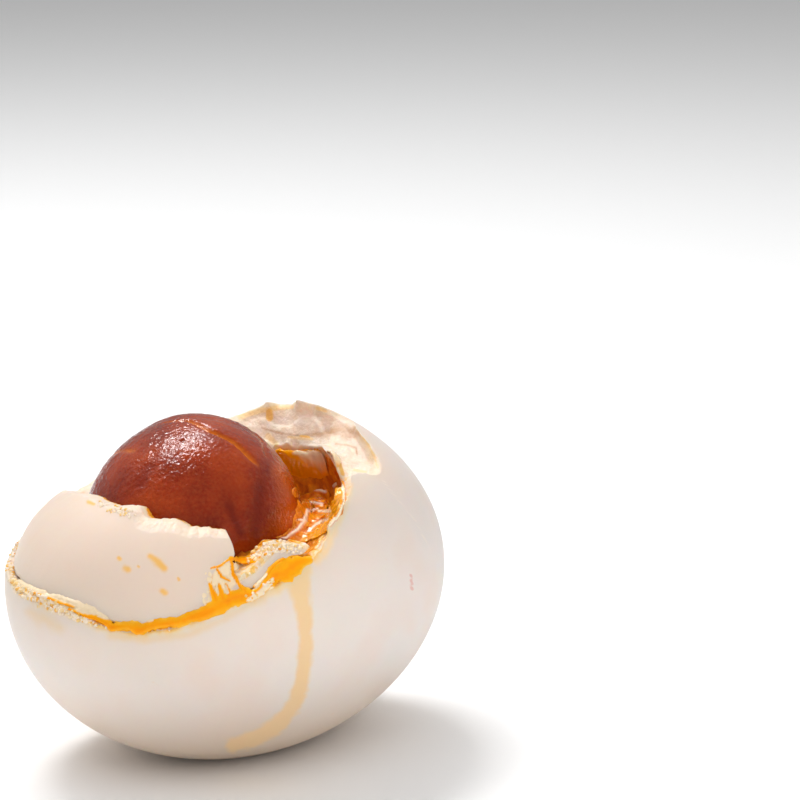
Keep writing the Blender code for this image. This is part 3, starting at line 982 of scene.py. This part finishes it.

# %% [markdown]
# ## Wet white beside the yolk
#
# Right of the yolk the torn white has soaked up so much oil that it is a wet, wrinkled pulp that
# clings to wall and yolk alike. It is a draped sheet again, slack at its upper end and taut lower
# down. Some of it is bright orange, what lies by the yolk is brown, thin flaps of white stay pale,
# and beads of oil stand on it, painted near white as painted highlights.

# %% Lay the wet pulp
PULP_ORANGE = (
    ((341, 484, 4), (339, 490, 6), (338, 498, 8), (335, 507, 9), (329, 515, 8)),
    ((329, 521, 4), (322, 529, 7), (317, 538, 9), (313, 547, 7), (318, 555, 3)),
    ((304, 541, 4), (298, 549, 4)),
)
PULP_WET = (
    ((297, 492, 5), (308, 493, 8), (319, 499, 11), (321, 510, 11), (313, 520, 12)),
    ((306, 505, 9), (305, 520, 11), (300, 533, 11), (292, 543, 9), (278, 546, 5)),
    ((260, 546, 3), (270, 544, 4), (280, 541, 5), (290, 537, 6), (300, 528, 7)),
    ((318, 520, 8), (312, 532, 10), (304, 545, 9)),
)
PULP_PALE = (
    ((336, 476, 3), (340, 483, 2), (344, 490, 1.6), (344, 502, 1.2), (340, 513, 1.4), (336, 520, 1.6)),
    ((308, 532, 1.3), (316, 525, 1.6), (327, 520, 2.2)), ((335, 519, 2), (329, 527, 1.6), (327, 538, 1.2)),
    ((302, 547, 2.5), (310, 550, 3.2), (318, 555, 2)), ((300, 555, 1.5), (308, 557, 2)),
    ((334, 486, 2), (338, 482, 2)), ((319, 512, 1.5), (330, 512, 2)),
)
# Beads of oil: raised, and painted near white as painted highlights
PULP_BEAD_GLINTS = (
    ((264, 544, 1.6), (276, 541, 2.2), (287, 539, 2.2), (298, 531, 2.6), (305, 522, 2.8), (308, 511, 2.2)),
    ((306, 522, 2), (299, 521, 1.5)), ((307, 513, 2), (318, 510, 1.6)), ((306, 489, 1.8), (325, 492, 2.6)),
    ((311, 503, 1.8), (322, 505, 2.2)), ((303, 486, 1.5), (312, 484, 1.5)),
)
PULP_BETWEEN = ((286, 532), (338, 488))
PULP_HALF_SIDE, PULP_LINES = 6.4 * MM, 170
# The pulp is slack above the first of these pixel rows and taut below the second
PULP_HANGS = (480, 504)
PULP_HEIGHT = 0.12 * MM
BEAD_HEIGHT = 0.22 * MM
WRINKLES = ((0.18 * MM, 1.4 * MM), (0.09 * MM, 0.55 * MM))
PULP_EDGE = ((0.22, 1.0 * MM), (0.16, 0.4 * MM))


def wrinkled(points, seed):
    """Sharp ridges with round hollows between them."""
    total = np.zeros(len(points))
    for k, (height, size) in enumerate(WRINKLES):
        folds = np.array([rough(Vector(p), size, seed + k) for p in points])
        total += height * (1 - 2 * np.abs(folds))
    return total


def pulp_shares(points):
    edge = noise_at(points, PULP_EDGE, seed=130)
    orange, wet = share_of(points, PULP_ORANGE) + edge, share_of(points, PULP_WET) + edge
    pale = share_of(points, PULP_PALE) + edge * 0.8
    return orange, wet, pale, np.maximum.reduce((orange, wet, pale * 0.6))


def pulp_taut(points):
    share = pulp_shares(points)[-1]
    return np.clip(share * 2, 0, 1) * ease(in_picture(points)[:, 1], *PULP_HANGS)


def pulp_rise(points):
    orange, wet, pale, share = pulp_shares(points)
    bead = np.clip(share_of(points, PULP_BEAD_GLINTS), 0, 1)
    inside = np.clip(share * 2, 0, 1)
    folds = wrinkled(points, seed=140) * inside
    up = PULP_HEIGHT * np.sqrt(inside) + folds + BEAD_HEIGHT * np.sqrt(bead) * inside
    return sheet_rise(share, up), {
        "orange": np.clip(orange * 2, 0, 1), "pale": np.clip(pale * 2, 0, 1), "bead": bead,
    }


pulp_tree = tree_of(white, yolk)
pulp_middle = sum((seen_on(pulp_tree, p) for p in PULP_BETWEEN), Vector()) / 2
pulp_rays = rays_along((OPENING_AXIS + VIEW_BACK).normalized(), pulp_middle, PULP_HALF_SIDE, PULP_LINES)
pulp = drape(
    "wet_pulp", (white, slab, chip, pool, yolk), pulp_rays, pulp_rise, pulp_taut, pulls=900
)

# %% [markdown]
# Below the ledge of the back wall the soaked white bulges out over the oil: bright orange beside
# the yolk, then cream, then tan. It is one more sheet, raised into a round lip.

# %% Lay the soaked lip below the ledge
LIP = (((280, 458, 8), (292, 462, 12), (305, 464, 14), (320, 464, 14), (332, 461, 9)),)
LIP_ORANGE = (((278, 462, 18), (292, 466, 20), (305, 468, 20), (320, 468, 20), (338, 464, 16)),)
LIP_PALE = (
    ((298, 459, 5), (308, 461, 8), (322, 464, 11), (336, 460, 11), (346, 456, 8)),
    ((334, 466, 5), (338, 474, 5)),
)
LIP_MIDDLE = (308, 460)
LIP_HALF_SIDE, LIP_LINES = 5.2 * MM, 120
LIP_HEIGHT = 2.0 * MM


def lip_rise(points):
    edge = noise_at(points, PULP_EDGE, seed=160)
    share = share_of(points, LIP) + edge * 0.5
    inside = np.clip(share, 0, 1)
    up = LIP_HEIGHT * (1 - (1 - inside) ** 2) + wrinkled(points, seed=150) * inside
    orange, pale = (share_of(points, lines) + edge for lines in (LIP_ORANGE, LIP_PALE))
    return sheet_rise(share, up), {
        "orange": np.clip(orange * 2, 0, 1), "pale": np.clip(pale * 1.5, 0, 0.9), "bead": pale * 0,
    }


lip_middle = seen_on(tree_of(white), LIP_MIDDLE)
lip_rays = rays_along((OPENING_AXIS + VIEW_BACK).normalized(), lip_middle, LIP_HALF_SIDE, LIP_LINES)
lip = drape("soaked_lip", (white, pool), lip_rays, lip_rise)

# %% [markdown]
# ## Crumbs
#
# Boiled white and yolk both crumble where they tear. Each crumb is a small ball of two dozen
# faces, stretched, flattened and dented, so that hundreds of them stay light. They lie where the wall
# is torn: thick on the ledge at the left, thinner on the slab's top and on the chip's crest.

# %% Scatter crumbs over the torn places
CRUMB_FACES = (6, 4)
CRUMB_DENTS = 0.3
CRUMB_SUNK = 0.3
FURTHEST_LEFT = float(points_of(white)[:, 0].min())
random.seed(7)


def add_crumb(shape, spot, radius, yellow, layer):
    """Adds one dented crumb to the mesh, half sunk in, and none of it past the egg's left end."""
    stretch = Vector(random.uniform(0.7, 1.3) for _ in range(3))
    spot = spot + (EGG_CENTRE - spot).normalized() * radius * CRUMB_SUNK
    spin = Matrix.Rotation(random.uniform(0, math.pi), 3, Vector(random.uniform(-1, 1) for _ in range(3)))
    around, down = CRUMB_FACES
    for vertex in bmesh.ops.create_uvsphere(shape, u_segments=around, v_segments=down, radius=1)["verts"]:
        out = spin @ vertex.co
        dent = 1 + CRUMB_DENTS * rough(out * radius * 2 + spot * 9, radius * 2)
        vertex.co = spot + Vector(o * s for o, s in zip(out, stretch)) * radius * dent
        vertex.co.x = max(vertex.co.x, FURTHEST_LEFT)
        vertex[layer] = yellow


def torn_spot(turns, inwards):
    """A random place on the torn wall, between these turns and these shares of the way in."""
    turn = random.uniform(*turns)
    row = OUTER_ROWS + TORN_ROWS * random.uniform(*inwards)
    return white_point(turn, row) + EGG_CENTRE


def seen_spot(line):
    """A random place within a broad line of the photograph."""
    place = random.uniform(0, len(line) - 1)
    k = min(int(place), len(line) - 2)
    x, y, half = (a + (b - a) * (place - k) for a, b in zip(line[k], line[k + 1]))
    return seen_on(crumb_tree, (x + random.uniform(-half, half), y + random.uniform(-half, half)))


LEDGE = (
    (10, 568, 1), (13, 580, 2), (17, 588, 3.5), (26, 594, 5), (38, 600, 5.5), (52, 606, 5), (66, 612, 3.5),
    (80, 619, 2.5), (96, 625, 1.5),
)
SLAB_EDGE = ((98, 503, 2), (108, 507, 4), (120, 511, 4), (132, 515, 4))
CREST = ((247, 561, 2), (258, 554, 5), (268, 548, 6), (278, 546, 5), (290, 549, 4), (300, 550, 3))
BESIDE_THE_WEDGE = ((246, 598, 3), (257, 594, 4), (265, 587, 4), (272, 581, 2))
crumb_tree = tree_of(white, slab, chip, crack_oil)
# Where, how many, how yellow from 0 to 1, and the radii in millimetres
CRUMB_PLACES = (
    (lambda: seen_spot(LEDGE), 260, 0.3, (0.14, 0.28)),
    (lambda: torn_spot((124, 150), (0.0, 0.13)), 60, 0.5, (0.12, 0.24)),
    (lambda: torn_spot((168, 240), (0.0, 0.05)), 40, 0.6, (0.08, 0.16)),
    (lambda: seen_spot(SLAB_EDGE), 40, 0.3, (0.14, 0.26)),
    (lambda: seen_spot(CREST), 100, 0.35, (0.14, 0.26)),
    (lambda: seen_spot(BESIDE_THE_WEDGE), 20, 0.45, (0.12, 0.2)),
)
HANDFUL = 20


def place_crumbs():
    """All the crumbs, made a handful at a time, because a small mesh is quick to add to."""
    shape = bmesh.new()
    shape.verts.layers.float.new("yellow")
    draft = bpy.data.meshes.new("handful")
    for spot, count, yellowness, radii in CRUMB_PLACES:
        for _ in range(count // HANDFUL):
            handful = bmesh.new()
            layer = handful.verts.layers.float.new("yellow")
            for _ in range(HANDFUL):
                yellow = min(1, max(0, random.gauss(yellowness, 0.3)))
                radius = random.uniform(*radii) * MM
                add_crumb(handful, spot(), radius, yellow, layer)
            handful.to_mesh(draft)
            handful.free()
            shape.from_mesh(draft)
    bmesh.ops.recalc_face_normals(shape, faces=shape.faces)
    return shape


crumbs = piece_from("crumbs", place_crumbs())

# %% [markdown]
# ## Marks on the skin
#
# A thin film of oil has run down the front from the crack, a few drops have dried on the slab, and
# the skin is stained below the crack. The torn wall also gets painted shade in its hollows and
# painted highlights on its lit upper band and bright edges. None of them has any height, so they
# are painted values.

# %% Paint the marks
OIL_RUN = (
    (298, 568, 20), (299, 584, 18), (302, 600, 14), (305, 620, 12), (306, 640, 11.5), (305, 662, 11),
    (302, 682, 11), (296, 700, 11.5), (287, 716, 12), (272, 729, 13), (252, 740, 13), (232, 746, 11),
)
# Stains below the crack. FACET is the pale right end of the torn wall, where oil has dried on it.
STAINS = (
    ((30, 612, 12), (44, 619, 16), (60, 628, 12)),
    ((110, 636, 8), (150, 640, 9), (190, 634, 9), (226, 618, 8), (262, 598, 10)),
)
DROPS = (
    ((150, 556, 6), (157, 561, 8), (164, 568, 7)), ((125, 568, 6.5), (127, 569, 6.5)),
    ((163, 591, 6), (165, 593, 6)), ((119, 558, 4), (120, 559, 4)),
    ((138, 566, 2.6), (139, 567, 2.6)), ((178, 578, 2.6), (179, 580, 2.6)),
    ((72, 488, 4), (84, 491, 4)), ((88, 502, 4), (94, 504, 3)),
)
BLUSH = (((411, 572, 1.2), (412, 590, 1.2)),)
FRINGE = (
    ((352, 484, 5), (347, 495, 7), (344, 508, 8), (339, 520, 8), (333, 535, 8), (328, 548, 7), (318, 562, 8)),
    ((265, 596, 6), (276, 590, 6), (292, 583, 7), (306, 570, 6)),
)
# On the torn wall behind the yolk, and on the flake at its right end
WALL_SPOTS = (
    ((269.5, 412, 4.6), (269.5, 418, 4.8)), ((301, 436, 1.5), (309, 437, 1.5)),
    ((280, 449, 3), (286, 456, 5), (290, 466, 4)), ((334, 454, 2), (339, 463, 3), (343, 474, 2.5)),
)
WALL_TINTS = (
    ((240, 417, 4), (258, 411, 4), (278, 408, 4), (292, 407, 3)), ((317, 408, 3), (326, 411, 2.5)),
    ((288, 437, 2.5), (312, 439, 2.5)), ((359, 431, 1.6), (367, 443, 1.8), (374, 456, 1.8), (378, 468, 1.4)),
    ((268, 436, 5), (276, 444, 5)), ((354, 470, 2), (366, 472, 1.5)),
)
# Painted shade in the hollows of the torn wall behind the yolk
WALL_SHADES = (
    ((262, 428, 2), (280, 433, 3), (300, 436, 4), (320, 434, 8), (340, 430, 14), (355, 432, 12)),
    ((336, 444, 2.5), (347, 445, 2), (356, 448, 2.5), (357, 455, 1.5)),
)
# Painted highlights on the lit upper band of the torn wall and on the lip of its ledge
WALL_HIGHLIGHTS = (
    ((262, 419, 4), (285, 420, 6), (305, 422, 5)), ((280, 444, 2.5), (320, 445, 2.5)),
    ((338, 453, 3), (347, 456, 4), (345, 464, 3)),
)
FACET = (((360, 430, 8), (369, 446, 9), (373, 462, 9)),)
# The thin bright edge of a flake: a painted highlight
FLAKE_EDGE_HIGHLIGHT = (((382, 479, 1.3), (390, 490, 1.5), (400, 502, 1.4), (415, 520, 1.3), (430, 550, 1.2)),)


TORN_ENOUGH = 0.3


def paint_lines(piece, name, on_skin, on_torn=(), soft=1.0):
    """Paints how far each point shows within broad lines, 0 at their sides and 1 when soft is past."""
    points = points_of(piece)
    torn = np.empty(len(points), np.float32)
    piece.data.attributes["torn"].data.foreach_get("value", torn)
    near = (points - np.array(EGG_CENTRE)) @ np.array(VIEW_BACK) > 0
    share = np.where(near, share_of(points, on_skin), 0)
    share = np.where(torn > TORN_ENOUGH, share_of(points, on_torn), share)
    paint(piece, name, np.clip(share / soft, 0, 1))


paint_lines(white, "oil_run", (OIL_RUN,), WALL_TINTS, soft=0.9)
paint_lines(white, "stain", STAINS, FACET)
# The hollow mark is painted shade
paint_lines(white, "hollow", (), WALL_SHADES)
paint_lines(white, "fringe", FRINGE)
paint_lines(white, "drop", (), WALL_SPOTS, soft=0.5)
paint_lines(white, "blush", BLUSH, soft=0.6)
# The light mark is painted highlight
paint_lines(white, "light", FLAKE_EDGE_HIGHLIGHT, WALL_HIGHLIGHTS)
paint_lines(slab, "drop", DROPS, DROPS)

# %% [markdown]
# ## Finishes
#
# Boiled egg white is a set gel: satin, a little translucent, and cream with a pink cast. Where it
# tore it is paler and grainy, and oil turns it yellow, then orange, then brown. One material
# reads the painted values and serves every piece of white.

# %% Helpers for the finishes
# The mix node's sockets by number, because several of them share a name
FACTOR, COLOUR_A, COLOUR_B, MIXED = 0, 6, 7, 2


def new_finish(name):
    """A material, its node tree, its shader, and the place on the egg that its patterns follow."""
    made = bpy.data.materials.new(name)
    made.use_nodes = True
    tree = made.node_tree
    return made, tree, tree.nodes["Principled BSDF"], add(tree, "ShaderNodeTexCoord").outputs["Object"]


def set_numbers(shader, values):
    """Sets the shader's sockets that are the same all over."""
    for name, value in values.items():
        shader.inputs[name].default_value = value


def painted(tree, mark):
    """The value that was painted on the piece under this name."""
    return add(tree, "ShaderNodeAttribute", attribute_name=mark).outputs["Fac"]


def cloudy(tree, place, size, detail, **more):
    """Noise with lumps of this many millimetres."""
    inputs = {"Vector": place, "Scale": per(size), "Detail": detail, **more}
    return add(tree, "ShaderNodeTexNoise", inputs).outputs["Fac"]


def tones(tree, value, *stops):
    """The colour that a value picks from a row of (place, colour) stops."""
    return add(tree, "ShaderNodeValToRGB", {"Fac": value}, stops=stops).outputs["Color"]


def blend(tree, share, first, second):
    """The first colour where the share is 0 and the second where it is 1."""
    inputs = {FACTOR: share, COLOUR_A: first, COLOUR_B: second}
    return add(tree, "ShaderNodeMix", inputs, data_type="RGBA").outputs[MIXED]


def refit(tree, value, start, end, low=0.0, high=1.0, kind="LINEAR"):
    """A value that runs from start to end, turned into one that runs from low to high."""
    inputs = {"Value": value, "From Min": start, "From Max": end, "To Min": low, "To Max": high}
    return add(tree, "ShaderNodeMapRange", inputs, interpolation_type=kind).outputs["Result"]


def times(tree, value, factor, plus=0.0, held=False):
    """A value times a factor, plus a third one, and held between 0 and 1 if asked."""
    inputs = {0: value, 1: factor, 2: plus}
    return add(tree, "ShaderNodeMath", inputs, operation="MULTIPLY_ADD", use_clamp=held).outputs[0]


def bumped(tree, height, distance):
    """The normal of a surface with this height, in millimetres at a height of 1."""
    inputs = {"Height": height, "Distance": distance * MM, "Strength": 1.0}
    return add(tree, "ShaderNodeBump", inputs).outputs["Normal"]


# %% Boiled egg white
# Each painted mark, its tint, how strong it gets, and the value at which it is at its strongest
# Of these marks, hollow is painted shade and light is painted highlight
WHITE_MARKS = (
    ("stain", "EBCDA6", 0.7, 1.2), ("hollow", "C4966F", 0.85, 1.2), ("fringe", "F8D6A6", 0.8, 1.2),
    ("oil_run", "F2D0A0", 1.0, 0.7), ("light", "F8EADA", 0.5, 1.0), ("drop", "F3BE5C", 0.9, 0.95),
    ("blush", "E3A090", 0.6, 0.7),
)
# Heights between which the skin darkens towards its underside: painted shade
SHADE_BELOW_FROM, SHADE_BELOW_TO = 15 * MM, 1 * MM


def boiled_white():
    """A soft, faintly translucent cream gel that grows grainy where torn and orange where oily."""
    made, tree, shader, place = new_finish("boiled_egg_white")
    torn, oily, warm = (painted(tree, mark) for mark in ("torn", "oily", "warm"))

    # The skin: cool and cloudy, warmer by the opening, and darker towards its underside as painted shade
    height = add(tree, "ShaderNodeSeparateXYZ", {0: place}).outputs["Z"]
    shade_below = refit(tree, height, SHADE_BELOW_FROM, SHADE_BELOW_TO, high=0.9, kind="SMOOTHSTEP")
    cool = tones(tree, cloudy(tree, place, 9, 2.0), (0.3, "E8E1DA"), (0.5, "ECE2DB"), (0.7, "EDDDD3"))
    skin = blend(tree, shade_below, blend(tree, warm, cool, linear("E8D3C2")), linear("DCC6B0"))
    flesh = tones(
        tree, cloudy(tree, place, 0.9, 3.0),
        (0.25, "EACFB6"), (0.5, "EED8C3"), (0.7, "F1DECB"), (0.85, "F3DAB4"),
    )
    plain = blend(tree, torn, skin, flesh)

    # The oil: unevenly soaked, grain by grain on the torn wall
    uneven = times(tree, cloudy(tree, place, 1.6, 4.0), 0.9, -0.45)
    grain_tones = add(tree, "ShaderNodeTexVoronoi", {"Vector": place, "Scale": per(0.5)}).outputs["Color"]
    speckled = times(tree, refit(tree, grain_tones, 0.0, 1.0, -0.28, 0.28), torn, uneven)
    soaked = times(tree, speckled, times(tree, oily, 2.0, held=True), oily, held=True)
    oil_tone = tones(
        tree, soaked,
        (0.1, "F5DDB8"), (0.32, "F7BE62"), (0.5, "F29A1C"), (0.72, "CE7016"), (1.0, "9C4A14"),
    )
    colour = blend(tree, refit(tree, soaked, 0.05, 0.3, kind="SMOOTHSTEP"), plain, oil_tone)

    # The painted marks, each broken up by the same patches
    patches = times(tree, cloudy(tree, place, 1.4, 3.0), 0.8, -0.4)
    for mark, tint, strength, full_at in WHITE_MARKS:
        shown = add(tree, "ShaderNodeMath", {0: painted(tree, mark), 1: patches}, operation="ADD").outputs[0]
        kept = refit(tree, shown, 0.15, full_at, high=strength, kind="SMOOTHSTEP")
        colour = blend(tree, kept, colour, linear(tint))
    tree.links.new(colour, shader.inputs["Base Color"])
    tree.links.new(refit(tree, soaked, 0.1, 0.6, 0.42, 0.14), shader.inputs["Roughness"])
    depth = refit(tree, torn, 0.0, 1.0, 0.012, 0.12)
    bump = bumped(tree, times(tree, cloudy(tree, place, 0.35, 2.0), depth), 1.0)
    tree.links.new(bump, shader.inputs["Normal"])
    set_numbers(shader, {
        "IOR": 1.36, "Subsurface Weight": 0.4, "Subsurface Radius": (1.0, 0.6, 0.35),
        "Subsurface Scale": 3.0 * MM,
    })
    return made


white_finish = boiled_white()
for piece in (white, slab, chip):
    piece.data.materials.append(white_finish)
print("finished", white_finish.name)

# %% Salted yolk
# The groove tint is painted shade in the two grooves, and the amber tint a painted glow on the yolk's right
# side
YOLK_MARKS = (
    ("dent", "7E2409"), ("amber", "B84C00"), ("shaded_groove", "741F06"), ("back_crease", "9A400C"),
    ("pit", "641C07"), ("crease", "CC6A10"),
)


def salted_yolk():
    """Firm brick-brown flesh under a film of oil, which breaks the highlight into small glints."""
    made, tree, shader, place = new_finish("salted_yolk")
    flesh = tones(tree, cloudy(tree, place, 5, 3.0), (0.3, "761C05"), (0.5, "8E2A05"), (0.7, "A43A08"))
    dots = refit(tree, cloudy(tree, place, 0.4, 2.0), 0.35, 0.65, 0.0, 0.2)
    colour = blend(tree, dots, flesh, linear("A8542A"))
    for mark, tint in YOLK_MARKS:
        colour = blend(tree, painted(tree, mark), colour, linear(tint))
    tree.links.new(colour, shader.inputs["Base Color"])
    bump = bumped(tree, cloudy(tree, place, 0.38, 2.0), 0.11)
    tree.links.new(bump, shader.inputs["Normal"])
    tree.links.new(bump, shader.inputs["Coat Normal"])
    set_numbers(shader, {
        "Roughness": 0.4, "IOR": 1.47, "Specular IOR Level": 0.0, "Coat Weight": 1.0,
        "Coat Roughness": 0.09, "Coat IOR": 1.45, "Subsurface Weight": 0.1,
        "Subsurface Radius": (1.0, 0.3, 0.1), "Subsurface Scale": 1.5 * MM,
    })
    return made


yolk.data.materials.append(salted_yolk())
print("finished", yolk.data.materials[0].name)


# %% Egg oil
def egg_oil():
    """Deep amber oil with brown swirls and a mirror-like surface."""
    made, tree, shader, place = new_finish("egg_oil")
    swirl = cloudy(tree, place, 3, 4.0, Distortion=0.6)
    tree.links.new(
        tones(tree, swirl, (0.3, "7A2F0C"), (0.5, "B2560F"), (0.7, "E68A14")), shader.inputs["Base Color"]
    )
    set_numbers(shader, {"Roughness": 0.06, "IOR": 1.47, "Coat Weight": 0.5, "Coat Roughness": 0.03})
    return made


pool.data.materials.append(egg_oil())
print("finished", pool.data.materials[0].name)


# %% Fresh oil, wet pulp and crumbs
def plain_mix(name, size, stops, numbers, mark=None, mark_weight=0.0, tints=()):
    """A material whose colour follows noise, shifted by a painted value and tinted by others."""
    made, tree, shader, place = new_finish(name)
    value = cloudy(tree, place, size, 3.0)
    if mark:
        inputs = {FACTOR: mark_weight, 2: value, 3: painted(tree, mark)}
        value = add(tree, "ShaderNodeMix", inputs, data_type="FLOAT").outputs[0]
    colour = tones(tree, value, *stops)
    for tint_mark, tint in tints:
        colour = blend(tree, painted(tree, tint_mark), colour, linear(tint))
    tree.links.new(colour, shader.inputs["Base Color"])
    set_numbers(shader, {"IOR": 1.4, **numbers})
    return made


# Thick opaque oil, a clear bright orange with pale specks of white in it
fresh_oil = plain_mix(
    "orange_egg_oil", 1.6,
    ((0.2, "FFC446"), (0.35, "FFB010"), (0.55, "FFA400"), (0.75, "FF9800"), (0.9, "F58A00")),
    {"Roughness": 0.2, "Specular IOR Level": 0.3}, "thick", 0.5, (("pale", "F7E0BC"),),
)
crack_oil.data.materials.append(fresh_oil)

# Wet, glistening pulp that glows orange, with cream flaps and beads painted near white as painted highlights
soaked_white = plain_mix(
    "oil_soaked_white", 1.2,
    ((0.25, "C85C10"), (0.42, "E07A12"), (0.6, "F49414"), (0.8, "FFAC18")),
    {"Roughness": 0.12, "Subsurface Weight": 0.15, "Subsurface Radius": (1.0, 0.5, 0.1),
     "Subsurface Scale": 1.0 * MM, "Coat Weight": 0.6, "Coat Roughness": 0.03},
    tints=(("orange", "FFA800"), ("pale", "FFECCC"), ("bead", "FFF2E2")),
)
for piece in (pulp, lip):
    piece.data.materials.append(soaked_white)

# Dull crumbs, from cream to egg yellow
crumbly = plain_mix(
    "crumbs_of_white", 1.0,
    ((0.2, "F6E2CC"), (0.35, "FAEAD4"), (0.5, "F8D898"), (0.7, "F4B84C"), (0.9, "F09C20")),
    {"Roughness": 0.5}, "yellow", 0.7,
)
crumbs.data.materials.append(crumbly)
print("finished", fresh_oil.name, soaked_white.name, crumbly.name)

# %% [markdown]
# ## Floor and light
#
# The floor is plain and pale. The highlight on the yolk tells where the main light hung: high up
# behind the egg and wide, with a brighter middle, as the cloth of a softbox has. The front was
# filled by pale boards that don't show in the oil, so the fills are left out of reflections.

# %% Lay the floor
FLOOR_SIDE = 3.0
AIR = 0.02 * MM

shape = bmesh.new()
bmesh.ops.create_grid(shape, x_segments=1, y_segments=1, size=FLOOR_SIDE / 2)
bmesh.ops.translate(shape, vec=(0, 0, -AIR), verts=shape.verts)
floor = object_from("floor", shape)
# Matt paper: bright and quite dull, so that it takes the egg's soft shadow and no reflection
paper = bpy.data.materials.new("matt_white_paper")
paper.use_nodes = True
set_numbers(paper.node_tree.nodes["Principled BSDF"], {"Base Color": linear("FDFDFD"), "Roughness": 0.9})
floor.data.materials.append(paper)
print("floor", FLOOR_SIDE, "m")

# %% Hang the lights
# How bright the surroundings are towards the camera and away from it
SURROUND = (0.26, 0.4)
# Name, direction as seen from the camera (right, away, up), distance and size in metres, power in
# watts, whether it shows in reflections. The softbox's brighter parts hang a little below its cloth.
LAMPS = (
    ("softbox", (-0.22, 0.48, 0.85), 0.6, (0.78, 0.42), 0.3, True),
    ("softbox_middle", (-0.22, 0.42, 0.88), 0.57, (0.46, 0.16), 0.6, True),
    ("softbox_bulb", (-0.22, 0.42, 0.88), 0.54, (0.22, 0.08), 1.5, True),
    ("left_fill", (-0.7, -0.5, 0.55), 0.6, (0.6, 0.6), 0.3, False),
    ("right_fill", (0.75, -0.45, 0.55), 0.6, (0.6, 0.6), 0.4, False),
    ("front_fill", (0, -0.6, 0.9), 0.6, (0.6, 0.6), 1.0, False),
    ("low_fill", (0.15, -0.9, 0.4), 0.6, (0.6, 0.6), 0.45, False),
)
VIEW_AWAY = Vector((0, 0, 1)).cross(VIEW_RIGHT)
# The soaked white beside the yolk glows with light that comes through the wall. A narrow beam from
# the front stands in: the pixel it is aimed at, its direction, distance, cone in degrees and power.
BEAM_AT = (300, 458)
BEAM_FROM = (0.1, -0.88, 0.46)
BEAM_AWAY = 0.6
BEAM_CONE = 2.0
BEAM_POWER = 34.0
BEAM_WIDTH = 0.03


def hang(name, kind, aim, heading, distance, power, in_reflections):
    """Hangs a lamp this far from a point, in a direction seen from the camera, and aims it there."""
    lamp = bpy.data.lights.new(name, kind)
    lamp.energy = power
    made = bpy.data.objects.new(name, lamp)
    bpy.context.scene.collection.objects.link(made)
    right, away, up = heading
    towards = (VIEW_RIGHT * right + VIEW_AWAY * away + Vector((0, 0, up))).normalized()
    made.location = aim + towards * distance
    made.rotation_euler = (-towards).to_track_quat("-Z", "Y").to_euler()
    made.visible_glossy = in_reflections
    return lamp


beam = hang("beam", "SPOT", seen_on(pulp_tree, BEAM_AT), BEAM_FROM, BEAM_AWAY, BEAM_POWER, False)
beam.spot_size, beam.spot_blend, beam.shadow_soft_size = math.radians(BEAM_CONE), 1.0, BEAM_WIDTH
for name, heading, distance, size, power, in_reflections in LAMPS:
    lamp = hang(name, "AREA", EGG_CENTRE, heading, distance, power, in_reflections)
    lamp.shape = "RECTANGLE"
    lamp.size, lamp.size_y = size

world = bpy.data.worlds.new("surround")
world.use_nodes = True
ways = world.node_tree
heading = add(
    ways, "ShaderNodeVectorMath",
    {0: add(ways, "ShaderNodeTexCoord").outputs["Generated"], 1: VIEW_AWAY}, operation="DOT_PRODUCT",
)
strength = add(
    ways, "ShaderNodeMapRange",
    {"Value": heading.outputs["Value"], "From Min": -0.3, "From Max": 0.5, "To Min": SURROUND[0],
     "To Max": SURROUND[1]}, interpolation_type="SMOOTHSTEP",
)
ways.links.new(strength.outputs["Result"], ways.nodes["Background"].inputs["Strength"])
ways.nodes["Background"].inputs["Color"].default_value = linear("FFFFFF")
bpy.context.scene.world = world
bpy.context.scene.view_settings.view_transform = "Standard"
print(len(LAMPS) + 1, "lamps")
